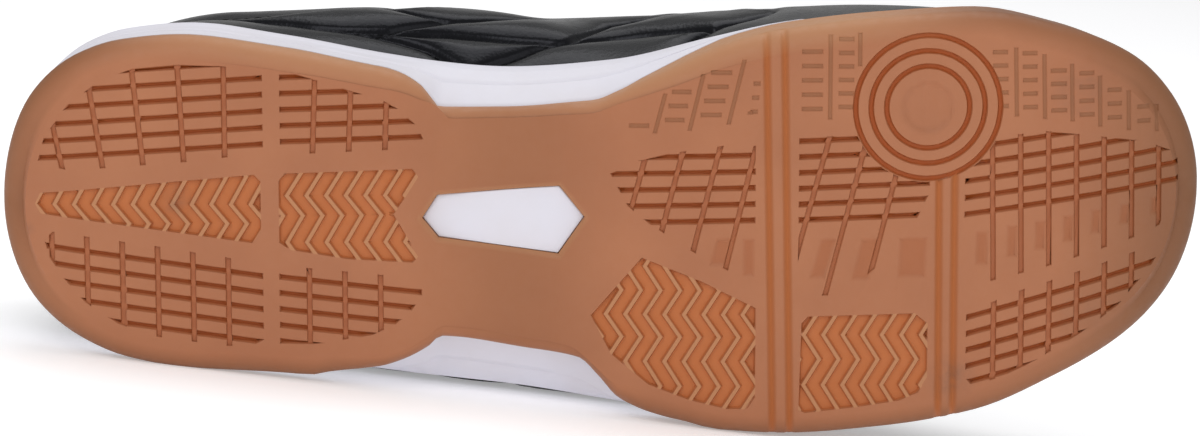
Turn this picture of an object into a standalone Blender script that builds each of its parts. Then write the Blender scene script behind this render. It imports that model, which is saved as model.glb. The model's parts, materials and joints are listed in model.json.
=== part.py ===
"""A left indoor court shoe that lies on its outer side, as it was put down to show its sole.

The shoe is worked out standing: x runs from heel to toe, y to the outer (lateral) side, z up.
Every piece hangs on one empty, which then turns the standing shoe over onto its side.
A position round the shoe is a share from 0 at the back of the heel to 1 at the tip of the toe.
"""

import math
from collections import namedtuple

import bmesh
import bpy
import numpy as np
from mathutils import Matrix, Vector

MM = 0.001

# Driving dimensions
SOLE_LENGTH = 296 * MM
BALL_WIDTH = 104 * MM
INSTEP_HEIGHT = 90 * MM
HEEL_HEIGHT = 86 * MM
UPPER_WALL = 2.0 * MM
INSOLE_THICKNESS = 4.0 * MM
TONGUE_THICKNESS = 4.0 * MM
OUTSOLE_PLATE = 3.6 * MM
TREAD_DEPTH = 1.3 * MM
FIT_GAP = 0.3 * MM

# Side of the sole
RIM_THICKNESS = 3.7 * MM
RIM_DRAFT = 0.8 * MM
STEP_BELOW_BITE = 7.0 * MM
STEP_HEIGHT = 0.9 * MM
STEP_DEPTH = 0.7 * MM
GUM_WALL = 2.1 * MM
GUM_LIP = 0.9 * MM
EDGE_ROUND = 6.0 * MM
EDGE_HEIGHT = 5.0 * MM

# Colours, linear
GUM_COLOUR = (0.42, 0.17, 0.075, 1)
FOAM_COLOUR = (0.80, 0.79, 0.82, 1)
BLACK_COLOUR = (0.012, 0.012, 0.013, 1)
LINING_COLOUR = (0.03, 0.03, 0.032, 1)
LACE_COLOUR = (0.02, 0.02, 0.021, 1)

# Cross sections of the sole from heel to toe. at: share of SOLE_LENGTH; medial and lateral: half widths,
# shares of BALL_WIDTH; the rest in millimetres. ground: tread above the floor; floor: the cup that the insole
# lies on; bite: where the upper leaves the sole; gum: top of the rubber's side; lean: how far the side leans in.
Section = namedtuple("Section", "at medial lateral ground floor bite gum lean")
SECTIONS = [
    Section(0.000, 0.000, 0.000, 4.0, 23.5, 30.5, 11.0, 3.5),
    Section(0.027, 0.268, 0.238, 1.2, 23.0, 30.0, 9.5, 3.2),
    Section(0.068, 0.364, 0.333, 0.0, 22.5, 29.0, 8.5, 3.0),
    Section(0.100, 0.392, 0.372, 0.0, 22.0, 28.3, 8.2, 2.8),
    Section(0.149, 0.404, 0.398, 0.0, 21.5, 27.5, 8.0, 2.5),
    Section(0.236, 0.372, 0.413, 0.0, 20.0, 26.5, 7.8, 1.5),
    Section(0.321, 0.322, 0.441, 0.6, 19.0, 26.5, 7.4, 0.0),
    Section(0.422, 0.284, 0.470, 2.5, 18.5, 27.0, 7.0, -1.0),
    Section(0.507, 0.308, 0.511, 1.0, 17.0, 26.0, 8.5, -0.4),
    Section(0.591, 0.376, 0.551, 0.0, 14.5, 23.5, 17.0, 0.6),
    Section(0.652, 0.420, 0.561, 0.0, 13.0, 21.5, 21.9, 1.0),
    Section(0.733, 0.447, 0.544, 0.0, 12.5, 21.0, 21.4, 1.2),
    Section(0.811, 0.460, 0.506, 0.8, 13.2, 22.0, 22.4, 1.5),
    Section(0.878, 0.424, 0.428, 3.0, 15.2, 24.0, 24.4, 1.8),
    Section(0.939, 0.350, 0.330, 7.0, 18.5, 27.0, 27.4, 2.0),
    Section(0.976, 0.245, 0.222, 10.5, 21.5, 29.5, 29.9, 2.0),
    Section(1.000, 0.020, -0.020, 13.0, 23.0, 31.0, 31.4, 2.0),
]

# Half widths of the rubber where it draws in to a bridge under the arch, in millimetres.
Bridge = namedtuple("Bridge", "x medial lateral")
GUM_BRIDGE = [
    Bridge(80, 37.2, 42.6),
    Bridge(92, 33.8, 41.3),
    Bridge(98, 31.8, 39.8),
    Bridge(104, 27.6, 37.1),
    Bridge(107.5, 23.6, 34.4),
    Bridge(126, 23.8, 35.0),
    Bridge(139.5, 24.6, 37.4),
    Bridge(145, 25.2, 42.3),
    Bridge(151, 27.4, 47.9),
    Bridge(157, 32.2, 51.4),
    Bridge(163, 35.0, 53.6),
]

# Window in the bridge, open to the foam above it, x and y in millimetres.
WINDOW_CORNERS = [(103.5, 3.2), (107.5, 8.2), (137.0, 12.4), (143.5, 3.0), (137.3, -4.8), (107.2, -2.6)]

# Top edge of the upper from the heel tab along the collar and down the throat. x and y in millimetres;
# height: share of HEEL_HEIGHT up to the collar's lowest point, of INSTEP_HEIGHT past it.
Topline = namedtuple("Topline", "share x half_width height")
TOPLINE = [
    Topline(0.00, 10.5, 0.0, 1.000),
    Topline(0.05, 11.6, 10.0, 0.994),
    Topline(0.10, 15.0, 18.5, 0.970),
    Topline(0.20, 30.0, 30.0, 0.860),
    Topline(0.30, 54.0, 36.0, 0.785),
    Topline(0.40, 83.0, 35.5, 0.775),
    Topline(0.48, 105.0, 29.0, 0.890),
    Topline(0.54, 119.0, 22.0, 1.000),
    Topline(0.62, 134.0, 18.5, 0.945),
    Topline(0.72, 151.0, 16.0, 0.860),
    Topline(0.82, 168.0, 14.5, 0.775),
    Topline(0.92, 184.0, 11.0, 0.695),
    Topline(0.97, 190.5, 6.0, 0.662),
    Topline(1.00, 192.5, 0.0, 0.652),
]
COLLAR_LOW_SHARE = 0.36

# Shape of each wall section of the upper, as the two handles of a curve from bite line to top edge, in
# millimetres. rise: up from the bite line; medial and lateral: outward from it, so the medial side overhangs the
# arch; spread and drop: outward and down from the top edge.
Wall = namedtuple("Wall", "share rise medial lateral spread drop")
WALLS = [
    Wall(0.00, 20.0, 4.0, 4.0, 0.5, 20.0),
    Wall(0.15, 20.0, 3.0, 3.0, 2.0, 20.0),
    Wall(0.30, 18.0, 8.0, 6.0, 4.0, 16.0),
    Wall(0.40, 20.0, 15.0, 14.0, 10.0, 18.0),
    Wall(0.47, 20.0, 13.0, 18.0, 16.0, 18.0),
    Wall(0.54, 20.0, 5.0, 15.0, 21.0, 18.0),
    Wall(0.62, 20.0, 2.0, 8.0, 26.0, 16.5),
    Wall(0.70, 20.0, 1.5, 4.0, 30.0, 15.0),
    Wall(0.85, 19.0, 1.0, 1.0, 42.0, 10.0),
    Wall(1.00, 19.0, 2.0, 2.0, 52.0, 8.0),
]
WALL_ROWS = 7

# Lacing. x of each pair of eyelets, in millimetres.
EYELET_PLACES = [130, 140, 150, 160, 170, 180]
EYELET_FROM_EDGE = 7.5 * MM
EYELET_DIAMETER = 4.4 * MM
LACE_WIDTH = 6.0 * MM
LACE_THICKNESS = 1.4 * MM
LACE_CLEARANCE = 0.8 * MM
LACE_CROWN = 1.4 * MM

# Cross sections of the tongue from the vamp up, in millimetres. under: how far it reaches beside the throat's edge;
# crown: how far its middle stands above its line under the edges.
TongueRow = namedtuple("TongueRow", "x under crown")
TONGUE_ROWS = [
    TongueRow(186, 9.0, -2.5),
    TongueRow(176, 11.0, 0.5),
    TongueRow(164, 11.0, 2.0),
    TongueRow(150, 10.0, 2.5),
    TongueRow(138, 7.0, 2.5),
    TongueRow(127, 2.0, 2.5),
]
TONGUE_FRONT_X = 201.0 * MM
TONGUE_FRONT_HALF = 16.0 * MM
TONGUE_FRONT_BOW = 8.0 * MM
TONGUE_FREE_END = 20.0 * MM
TONGUE_CLEARANCE = 1.0 * MM

# Tread: blocks cut by two families of straight grooves, x and y in millimetres. outline: convex edge of the zone;
# along: first y, pitch and count of the grooves that run heel to toe, at x = along_at, with their slope;
# across: the same for those that run side to side, at y = across_at, with the lean of the first and last.
Grid = namedtuple("Grid", "outline along_at along slope across_at across lean")
GRIDS = [
    Grid(
        [(8.4, -10.4), (10.4, -17.5), (16.4, -25.6), (23.8, -31.2), (32.5, -34.6), (43.7, -35.6), (55, -35.2),
         (64.2, -33), (64.2, -13.4), (46, -11.2), (17, -9)],
        43, (-14.3, -4.12, 5), -0.065, -20, (54.9, -10.5, 5), (0.0, 0.2)),
    Grid(
        [(68, -34), (74, -33.5), (88, -29.6), (98, -25), (103.5, -18), (103.4, -16), (95, -13.2), (68, -12.2)],
        85, (-16.8, -4.0, 4), -0.03, -20, (76.7, 8.85, 3), (-0.04, -0.04)),
    Grid(
        [(9.8, 8.2), (12, 6.2), (21, 7.4), (39, 10), (56, 12.8), (64, 16), (64, 33.6), (61, 35.2), (54, 35.2),
         (36, 32.6), (28, 29.6), (20, 24.2), (14.5, 18), (11, 12.8)],
        38.2, (13.7, 4.18, 5), 0.143, 20, (12.2, 8.67, 6), (0.0, 0.0)),
    Grid(
        [(68, 16), (75, 15.4), (94, 17.4), (103.5, 21), (103.5, 23.4), (101, 27.2), (97, 31), (91, 33.8),
         (76.5, 35.8), (68, 35.4)],
        84.4, (20.3, 4.06, 4), 0.12, 25, (75.7, 8.75, 3), (0.0, 0.0)),
    Grid(
        [(150.7, -8.2), (158, -11.6), (165.4, -13.4), (179, -15.4), (187.2, -15.4), (187.2, 18), (180, 16.6),
         (171, 12.4), (160.5, 4.4), (155, 0)],
        172.8, (-12.6, 4.07, 5), -0.023, -4.3, (184.7, -8.9, 4), (-0.24, -0.27)),
    Grid(
        [(197.2, -17.4), (229, -19), (229, 3.6), (223, 9), (218, 22.8), (201.5, 22.6), (197.2, 14)],
        212.5, (-17.1, 3.95, 6), -0.045, 3, (200.4, 9.6, 3), (-0.27, -0.24)),
    Grid(
        [(238.2, -13), (245, -17.4), (258, -18.6), (266, -17.6), (281, -15.2), (288.5, -12.6), (291.6, -10),
         (292, -4.6), (287.6, 6.6), (280.4, 9.4), (260, 15.4), (245, 19), (238.2, 3)],
        259.7, (-17.4, 4.16, 5), -0.131, -8, (245.3, 6.95, 7), (0.02, 0.02)),
    Grid(
        [(238.4, 26.8), (252, 21.2), (273, 15), (281, 12.6), (286, 13.6), (284.6, 16.6), (276, 26.6), (267, 33.2),
         (253.5, 40.8), (247, 43.6), (240, 45.4), (238.4, 43.4)],
        256, (23.5, 4.15, 4), -0.265, 30, (245.7, 6.9, 6), (0.0, 0.0)),
]
GROOVE_ALONG_WIDTH = 1.35 * MM
GROOVE_ACROSS_WIDTH = 1.45 * MM

# Tread: sunk panels with zigzag ribs left standing. levels: the y where the ribs turn, the first turn
# towards the heel; start: x of one rib at the first level.
Herringbone = namedtuple("Herringbone", "outlines levels start")
HERRINGBONES = [
    Herringbone(
        [[(7.6, -0.6), (9.2, -3.4), (62, -8.1), (63.6, -6.4), (63.6, 5.8), (61.4, 9.1), (9, 1.8)]],
        (-7.6, -0.6, 4.2, 10.4), 22.5),
    Herringbone(
        [[(68, -6.6), (69.5, -8.4), (101, -9.4), (102.6, -7.2), (96.4, 2), (68, 2)],
         [(68, 2), (96.4, 2), (102.4, 12.6), (101, 14.2), (85, 13.2), (70.6, 10.8), (68, 9)]],
        (-9.0, -2.8, 2.2, 8.9, 14.4), 70.0),
    Herringbone(
        [[(146, 28.2), (159.2, 13.4), (173, 20.8), (184.6, 24.4), (187.2, 26.8), (187.2, 48.4), (185.2, 51.2),
          (180.2, 51.2), (170.4, 48.8), (160.4, 45), (151, 37.4)]],
        (21.1, 27.2, 32.9, 39.1, 45.4, 51.5), 149.7),
    Herringbone(
        [[(198.2, 29.8), (200, 28), (226, 27.2), (229.2, 29.8), (229.2, 43.2), (227, 47), (222.4, 49),
          (212.6, 50.6), (199.2, 52.2), (197.6, 51.4)]],
        (26.0, 32.3, 38.5, 45.0, 51.4), 203.4),
]
RIB_PITCH = 4.82 * MM
RIB_SWING = 3.9 * MM
RIB_WIDTH = 1.3 * MM

# Tread: rings of the turning spot under the ball of the big toe, and the pairs of grooves where the sole flexes.
PIVOT_CENTRE = (229.2 * MM, -24.9 * MM)
PIVOT_RADII = [10.2 * MM, 14.1 * MM, 18.0 * MM]
PIVOT_GROOVE = 1.3 * MM
PIVOT_CORNERS = 18
Flex = namedtuple("Flex", "x_start y_start x_end y_end")
FLEX_GROOVES = [
    Flex(189.4, -41.5, 190.4, 53.5),
    Flex(193.9, -42.0, 194.9, 53.5),
    Flex(231.7, -4.6, 231.7, 49.5),
    Flex(235.5, -4.9, 235.5, 48.5),
]
FLEX_WIDTH = 1.8 * MM
CUT_SNAP = 0.02 * MM

STATION_COUNT = 22
# Where the rubber's side rises over the foam, x in millimetres.
COVER_STATIONS = [174.5, 179.5]


def smooth(knots, values, at):
    """A curve through the values that never overshoots them, read at one or more places."""
    knots, values = np.asarray(knots, float), np.asarray(values, float)
    steps = np.diff(knots)
    rates = np.diff(values) / steps
    slopes = np.zeros(len(knots))
    slopes[0], slopes[-1] = rates[0], rates[-1]
    same = rates[:-1] * rates[1:] > 0
    slopes[1:-1][same] = 2 * rates[:-1][same] * rates[1:][same] / (rates[:-1] + rates[1:])[same]
    at = np.clip(at, knots[0], knots[-1])
    k = np.clip(np.searchsorted(knots, at) - 1, 0, len(steps) - 1)
    t = (at - knots[k]) / steps[k]
    rise = (3 - 2 * t) * t * t
    return (
        values[k] * (1 - rise)
        + values[k + 1] * rise
        + steps[k] * t * (1 - t) * ((1 - t) * slopes[k] - t * slopes[k + 1])
    )


def share_round(at):
    """The share round the shoe of a share of the length: the ends are as round as a half circle."""
    return np.arccos(1 - 2 * np.clip(at, 0, 1)) / math.pi


def column(rows, name, share):
    """One column of a table with a share column, read at shares round the shoe."""
    return smooth([row.share for row in rows], [getattr(row, name) for row in rows], share)


def section(name, share):
    """One column of SECTIONS, read at shares round the shoe."""
    knots = [share_round(row.at) for row in SECTIONS]
    return smooth(knots, [getattr(row, name) for row in SECTIONS], share)


def ground_height(x):
    """Height of the tread above the floor when the shoe stands, at a distance from the heel."""
    return section("ground", share_round(np.asarray(x) / SOLE_LENGTH)) * MM


def outline_at(share, side):
    """x and y of the widest outline of the sole. side: -1 medial, 1 lateral, 0 at the two ends."""
    x = (1 - np.cos(math.pi * share)) / 2 * SOLE_LENGTH
    medial = -section("medial", share) * BALL_WIDTH
    lateral = section("lateral", share) * BALL_WIDTH
    return np.stack([x, np.where(np.asarray(side) > 0, lateral, medial)], -1)


def outward_at(share, side):
    """Unit direction out of the outline, square to it."""
    share, side = np.asarray(share, float), np.asarray(side)
    along = outline_at(np.minimum(share + 0.004, 1), side) - outline_at(np.maximum(share - 0.004, 0), side)
    along = along * np.where(side > 0, -1, 1)[..., None]
    along = along / np.linalg.norm(along, axis=-1)[..., None]
    out = np.stack([along[..., 1], -along[..., 0]], -1)
    end = np.stack([np.where(share < 0.5, -1.0, 1.0), np.zeros(share.shape)], -1)
    return np.where((side == 0)[..., None], end, out)


def stations():
    """Shares round the shoe of the cross sections: even steps, and each corner of the rubber bridge."""
    even = np.linspace(0, 1, STATION_COUNT + 1)
    corners = share_round(np.array([*(row.x for row in GUM_BRIDGE), *COVER_STATIONS]) * MM / SOLE_LENGTH)
    apart = [share for share in even if np.abs(corners - share).min() > 0.4 / STATION_COUNT]
    return np.array(sorted([*apart, *corners]))


STATIONS = stations()
LAST = len(STATIONS) - 1
# One closed loop: heel, medial side, toe, lateral side.
SHARES = np.concatenate([STATIONS, STATIONS[-2:0:-1]])
SIDES = np.array([0] + [-1] * (LAST - 1) + [0] + [1] * (LAST - 1))
OUTLINE = outline_at(SHARES, SIDES)
OUTWARD = outward_at(SHARES, SIDES)
GROUND = ground_height(OUTLINE[:, 0])
FLOOR = section("floor", SHARES) * MM
BITE = section("bite", SHARES) * MM
GUM = section("gum", SHARES) * MM
LEAN = section("lean", SHARES) * MM


def gum_notch():
    """How far the edge of the rubber lies inside the outline, where it draws in under the arch."""
    x = OUTLINE[:, 0] / MM
    knots = [row.x for row in GUM_BRIDGE]
    medial = np.interp(x, knots, [row.medial for row in GUM_BRIDGE])
    lateral = np.interp(x, knots, [row.lateral for row in GUM_BRIDGE])
    edge = np.where(SIDES > 0, lateral, medial) * MM
    inside = np.maximum(np.abs(OUTLINE[:, 1]) - edge, 0)
    return np.where((x > knots[0] - 1) & (x < knots[-1] + 1), inside, 0)


NOTCH = gum_notch()
# The rubber is a cup wall at heel and forefoot, and only a low lip along the bridge.
GUM_THICKNESS = np.where(NOTCH > 3 * MM, GUM_LIP, GUM_WALL)
# 1 where the rubber's side hides the foam behind it, 0 where the foam stands flush with it.
GUM_COVER = GUM > BITE - 6 * MM


def ring(offset, height):
    """A loop of points at a distance outside the outline and a height above the floor."""
    offset = np.broadcast_to(offset, SHARES.shape)
    height = np.broadcast_to(height, SHARES.shape)
    return np.column_stack([OUTLINE + OUTWARD * offset[:, None], height])


def outer_offset(height):
    """Offset of the sole's leaning outer face at a height, without the notch of the bridge."""
    low = GROUND + EDGE_HEIGHT
    return -LEAN * np.clip((height - low) / (BITE - low), 0, 1)


def gum_inner_offset(height):
    """Offset of the inner face of the rubber's side at a height."""
    low = GROUND + OUTSOLE_PLATE
    up = np.clip((height - low) / (GUM - low), 0, 1)
    foot = -NOTCH - GUM_THICKNESS - RIM_DRAFT
    top = -NOTCH + outer_offset(GUM) - GUM_THICKNESS
    return foot + (top - foot) * up


def plate_ring(inset, above):
    """The loop where the rubber's plate meets its side, a little inside it and above the tread."""
    points = ring(gum_inner_offset(GROUND) - inset, 0)
    points[:, 2] = ground_height(points[:, 0]) + above
    return points


def upper_point(share, side, up):
    """A point on the outside of the upper. up: 0 at the bite line, 1 at the top edge."""
    share, side = np.asarray(share, float), np.asarray(side)
    inset = section("lean", share) * MM + RIM_THICKNESS + FIT_GAP
    out = outward_at(share, side)
    low = np.concatenate(
        [outline_at(share, side) - out * inset[..., None], section("bite", share)[..., None] * MM], -1
    )
    heights = [row.height * (HEEL_HEIGHT if row.share < COLLAR_LOW_SHARE else INSTEP_HEIGHT) for row in TOPLINE]
    high = np.stack(
        [
            column(TOPLINE, "x", share) * MM,
            column(TOPLINE, "half_width", share) * MM * side,
            smooth([row.share for row in TOPLINE], heights, share),
        ],
        -1,
    )
    away = (low - high)[..., :2]
    away = out * 2 + away / np.linalg.norm(away, axis=-1)[..., None]
    away = away / np.linalg.norm(away, axis=-1)[..., None]
    wall = {name: (column(WALLS, name, share) * MM)[..., None] for name in Wall._fields[1:]}
    flare = np.where((side > 0)[..., None], wall["lateral"], wall["medial"])
    first = low + np.concatenate([out * flare, wall["rise"]], -1)
    second = high + np.concatenate([away * wall["spread"], -wall["drop"]], -1)
    return (
        low * (1 - up) ** 3
        + first * 3 * up * (1 - up) ** 2
        + second * 3 * up**2 * (1 - up)
        + high * up**3
    )


def upper_over(x, y):
    """(point, outward normal) on the top of the upper, straight above a place of the ground."""
    side = -1 if y < 0 else 1
    target = np.array([x, y])
    shares, ups = np.linspace(0.4, 0.998, 121), np.linspace(0.5, 0.998, 81)
    points = np.array([upper_point(shares, np.full(121, side), up) for up in ups])
    row, place = np.unravel_index(np.linalg.norm(points[..., :2] - target, axis=-1).argmin(), points.shape[:2])
    share, up = shares[place], ups[row]
    step = 0.002
    point = points[row, place]
    by_share = (upper_point(share + step, side, up) - point) / step
    by_up = (upper_point(share, side, up + step) - point) / step
    move = np.linalg.solve(np.column_stack([by_share[:2], by_up[:2]]), target - point[:2])
    point = point + by_share * move[0] + by_up * move[1]
    normal = np.cross(by_share, by_up)
    normal *= math.copysign(1, normal[2])
    return point, normal / np.linalg.norm(normal)


def throat_half(x):
    """Half the width of the throat at a distance from the heel."""
    rows = [row for row in TOPLINE if row.share >= 0.54]
    return smooth([row.x for row in rows], [row.half_width for row in rows], x / MM) * MM


def new_object(name, bm, made_of, collection):
    mesh = bpy.data.meshes.new(name)
    bm.to_mesh(mesh)
    bm.free()
    obj = bpy.data.objects.new(name, mesh)
    obj.parent = LYING
    collection.objects.link(obj)
    if made_of:
        mesh.materials.append(made_of)
    return obj


def loft(bm, loops, closed=True):
    """Skins a run of loops with four-sided faces, and returns the rows of vertices."""
    rows = [[bm.verts.new(point) for point in loop] for loop in loops]
    count = len(rows[0])
    for low, high in zip(rows, rows[1:]):
        for i in range(count if closed else count - 1):
            j = (i + 1) % count
            bm.faces.new((low[i], low[j], high[j], high[i]))
    return rows


def cap(bm, row):
    """Closes a loop with strips that run from the medial to the lateral side, and returns the strips."""
    strips = []
    for k in range(LAST):
        corners = [row[k], row[k + 1], row[-k - 1], row[-k]]
        strips.append(bm.faces.new(list(dict.fromkeys(corners))))
    return strips


def middle_of(face):
    middle = face.calc_center_median()
    return np.array([middle.x, middle.y])


def slice_faces(bm, faces, point, normal):
    """Cuts the faces along an upright plane, and returns all the faces that they became."""
    parts = {*faces}
    for face in faces:
        parts.update(face.edges)
        parts.update(face.verts)
    cut = bmesh.ops.bisect_plane(
        bm, geom=list(parts), dist=CUT_SNAP, plane_co=(*point, 0), plane_no=(*normal, 0)
    )
    return [part for part in cut["geom"] if isinstance(part, bmesh.types.BMFace)]


def carve(bm, faces, corners):
    """Cuts a convex outline into the faces, and returns the faces inside it and those outside."""
    corners = np.asarray(corners, float)
    low, high = corners.min(0), corners.max(0)
    inside, outside = [], []
    for face in faces:
        points = np.array([vert.co[:2] for vert in face.verts])
        near = (points.max(0) > low).all() and (points.min(0) < high).all()
        (inside if near else outside).append(face)
    for a, b in zip(corners, np.roll(corners, -1, 0)):
        inward = np.array([a[1] - b[1], b[0] - a[0]])
        inward /= np.linalg.norm(inward)
        if inward @ (corners.mean(0) - a) < 0:
            inward = -inward
        pieces = slice_faces(bm, inside, a, inward)
        inside = [face for face in pieces if inward @ (middle_of(face) - a) > 0]
        outside += [face for face in pieces if inward @ (middle_of(face) - a) <= 0]
    return inside, outside


def cut_grid(bm, faces, zone):
    """Cuts a grid zone, and returns its grooves and the faces outside it."""
    inside, outside = carve(bm, faces, np.array(zone.outline) * MM)
    lines = []
    first, pitch, count = zone.along
    for n in range(count):
        normal = np.array([-zone.slope, 1]) / math.hypot(zone.slope, 1)
        lines.append((np.array([zone.along_at, first + n * pitch]) * MM, normal, GROOVE_ALONG_WIDTH))
    first, pitch, count = zone.across
    for n in range(count):
        lean = zone.lean[0] + (zone.lean[1] - zone.lean[0]) * n / (count - 1)
        normal = np.array([1, -lean]) / math.hypot(1, lean)
        lines.append((np.array([first + n * pitch, zone.across_at]) * MM, normal, GROOVE_ACROSS_WIDTH))
    for point, normal, width in lines:
        for edge in (-width / 2, width / 2):
            inside = slice_faces(bm, inside, point + normal * edge, normal)
    grooves = []
    for face in inside:
        middle = middle_of(face)
        if any(abs(normal @ (middle - point)) < width / 2 for point, normal, width in lines):
            grooves.append(face)
    return grooves, outside


def cut_herringbone(bm, faces, zone):
    """Cuts a herringbone panel, and returns the faces between its ribs and those outside it."""
    inside, outside = [], faces
    for corners in zone.outlines:
        panel, outside = carve(bm, outside, np.array(corners) * MM)
        inside += panel
    levels = np.array(zone.levels) * MM
    for level in levels:
        inside = slice_faces(bm, inside, (0, level), (0, 1))
    width = np.ptp([x for corners in zone.outlines for x, _ in corners]) * MM
    reach = math.ceil(width / RIB_PITCH) + 1
    sunk = []
    for n, (low, high) in enumerate(zip(levels, levels[1:])):
        band = [face for face in inside if low < middle_of(face)[1] < high]
        back = n % 2 == 0
        start = zone.start * MM + (RIB_SWING if back else 0)
        along = np.array([-RIB_SWING if back else RIB_SWING, high - low])
        normal = np.array([along[1], -along[0]]) / np.linalg.norm(along)
        ribs = [np.array([start + k * RIB_PITCH, low]) for k in range(-reach, reach + 1)]
        for point in ribs:
            for edge in (-RIB_WIDTH / 2, RIB_WIDTH / 2):
                band = slice_faces(bm, band, point + normal * edge, normal)
        for face in band:
            middle = middle_of(face)
            if all(abs(normal @ (middle - point)) > RIB_WIDTH / 2 for point in ribs):
                sunk.append(face)
    return sunk, outside


def cut_pivot(bm, faces):
    """Cuts the rings of the turning spot, and returns their grooves and the faces outside it."""
    turns = np.arange(PIVOT_CORNERS) * 2 * math.pi / PIVOT_CORNERS
    round_corners = np.stack([np.cos(turns), np.sin(turns)], 1)
    grooves = []
    inside, outside = carve(bm, faces, PIVOT_CENTRE + round_corners * (PIVOT_RADII[0] + PIVOT_GROOVE / 2))
    for n, radius in enumerate(PIVOT_RADII):
        if n:
            inside, _ = carve(bm, inside, PIVOT_CENTRE + round_corners * (radius + PIVOT_GROOVE / 2))
        inside, groove = carve(bm, inside, PIVOT_CENTRE + round_corners * (radius - PIVOT_GROOVE / 2))
        grooves += groove
    return grooves, outside


def cut_flex(bm, faces, groove):
    """Cuts one flex groove, and returns its faces and those outside it."""
    start = np.array([groove.x_start, groove.y_start]) * MM
    end = np.array([groove.x_end, groove.y_end]) * MM
    side = np.array([FLEX_WIDTH / 2, 0])
    return carve(bm, faces, [start - side, start + side, end + side, end - side])


def make_outsole(collection, cutters, made_of):
    """Gum rubber: a plate with the tread below and a cup wall round it."""
    bm = bmesh.new()
    height = np.minimum(EDGE_HEIGHT, 0.6 * (GUM - GROUND))
    width = np.where(NOTCH > 3 * MM, 0.6, 1) * EDGE_ROUND
    # Both sides of a strip of tread share their x, so each strip is flat.
    edge = np.column_stack([OUTLINE[:, 0], OUTLINE[:, 1] - SIDES * NOTCH, GROUND])
    edge[:, 0] += EDGE_ROUND * (1 - 2 * edge[:, 0] / SOLE_LENGTH)
    edge[:, 1] *= 1 - width / (0.42 * BALL_WIDTH)
    edge[:, 2] = ground_height(edge[:, 0])
    rows = loft(
        bm,
        [
            edge,
            ring(-NOTCH - 0.5 * width, GROUND + 0.1 * height),
            ring(-NOTCH - 0.17 * width, GROUND + 0.42 * height),
            ring(-NOTCH, GROUND + height),
            ring(-NOTCH + outer_offset(GUM), GUM),
            ring(gum_inner_offset(GUM), GUM),
            plate_ring(0, OUTSOLE_PLATE),
        ],
    )
    cap(bm, rows[-1])
    plain = cap(bm, rows[0])
    sunk, plain = cut_pivot(bm, plain)
    for groove in FLEX_GROOVES:
        faces, plain = cut_flex(bm, plain, groove)
        sunk += faces
    for zone in GRIDS:
        faces, plain = cut_grid(bm, plain, zone)
        sunk += faces
    for zone in HERRINGBONES:
        faces, plain = cut_herringbone(bm, plain, zone)
        sunk += faces
    deep = bmesh.ops.extrude_face_region(bm, geom=sunk)["geom"]
    bmesh.ops.translate(
        bm, vec=(0, 0, TREAD_DEPTH), verts=[part for part in deep if isinstance(part, bmesh.types.BMVert)]
    )
    bmesh.ops.delete(bm, geom=sunk, context="FACES")
    bmesh.ops.recalc_face_normals(bm, faces=bm.faces)
    outsole = new_object("outsole", bm, made_of, collection)

    bm = bmesh.new()
    loft_rows = loft(bm, [[(x * MM, y * MM, z) for x, y in WINDOW_CORNERS] for z in (-5 * MM, 15 * MM)])
    for row in loft_rows:
        bm.faces.new(row)
    bmesh.ops.recalc_face_normals(bm, faces=bm.faces)
    cut_out(outsole, new_object("window_cutter", bm, None, cutters))
    return outsole


def cut_out(obj, cutter):
    cutter.display_type = "WIRE"
    cutter.hide_render = True
    cut = obj.modifiers.new(cutter.name, "BOOLEAN")
    cut.operation = "DIFFERENCE"
    cut.solver = "EXACT"
    cut.object = cutter


def make_midsole(collection, made_of):
    """White foam: flush above the rubber, with a step along its side and a rim that holds the upper."""
    ledge = np.minimum(GUM + FIT_GAP, BITE - 3 * MM)
    step = np.maximum(BITE - STEP_BELOW_BITE, ledge + STEP_HEIGHT)

    def side(height, inset=0):
        shown = outer_offset(height) - inset
        hidden = gum_inner_offset(height) - 2 * FIT_GAP
        return np.where(GUM_COVER, np.minimum(shown, hidden), shown)

    bm = bmesh.new()
    flush = np.where(NOTCH > 3 * MM, -NOTCH, side(ledge + 0.3 * MM))
    rows = loft(
        bm,
        [
            plate_ring(2 * FIT_GAP, OUTSOLE_PLATE + 1.5 * FIT_GAP),
            ring(gum_inner_offset(ledge) - 2 * FIT_GAP, ledge),
            ring(flush, ledge + 0.3 * MM),
            ring(side(step), step),
            ring(side(step, STEP_DEPTH), step + STEP_HEIGHT),
            ring(side(BITE), BITE),
            ring(-LEAN - RIM_THICKNESS, BITE),
            ring(-LEAN - RIM_THICKNESS - RIM_DRAFT, FLOOR),
        ],
    )
    cap(bm, rows[0])
    cap(bm, rows[-1])
    bmesh.ops.recalc_face_normals(bm, faces=bm.faces)
    return new_object("midsole", bm, made_of, collection)


def make_insole(collection, made_of):
    """Sock liner that lies on the foam's floor, inside the upper."""
    inset = -LEAN - RIM_THICKNESS - RIM_DRAFT - UPPER_WALL - 2 * FIT_GAP
    bm = bmesh.new()
    rows = loft(bm, [ring(inset, FLOOR + FIT_GAP), ring(inset, FLOOR + FIT_GAP + INSOLE_THICKNESS)])
    cap(bm, rows[0])
    cap(bm, rows[-1])
    bmesh.ops.recalc_face_normals(bm, faces=bm.faces)
    return new_object("insole", bm, made_of, collection)


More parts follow.
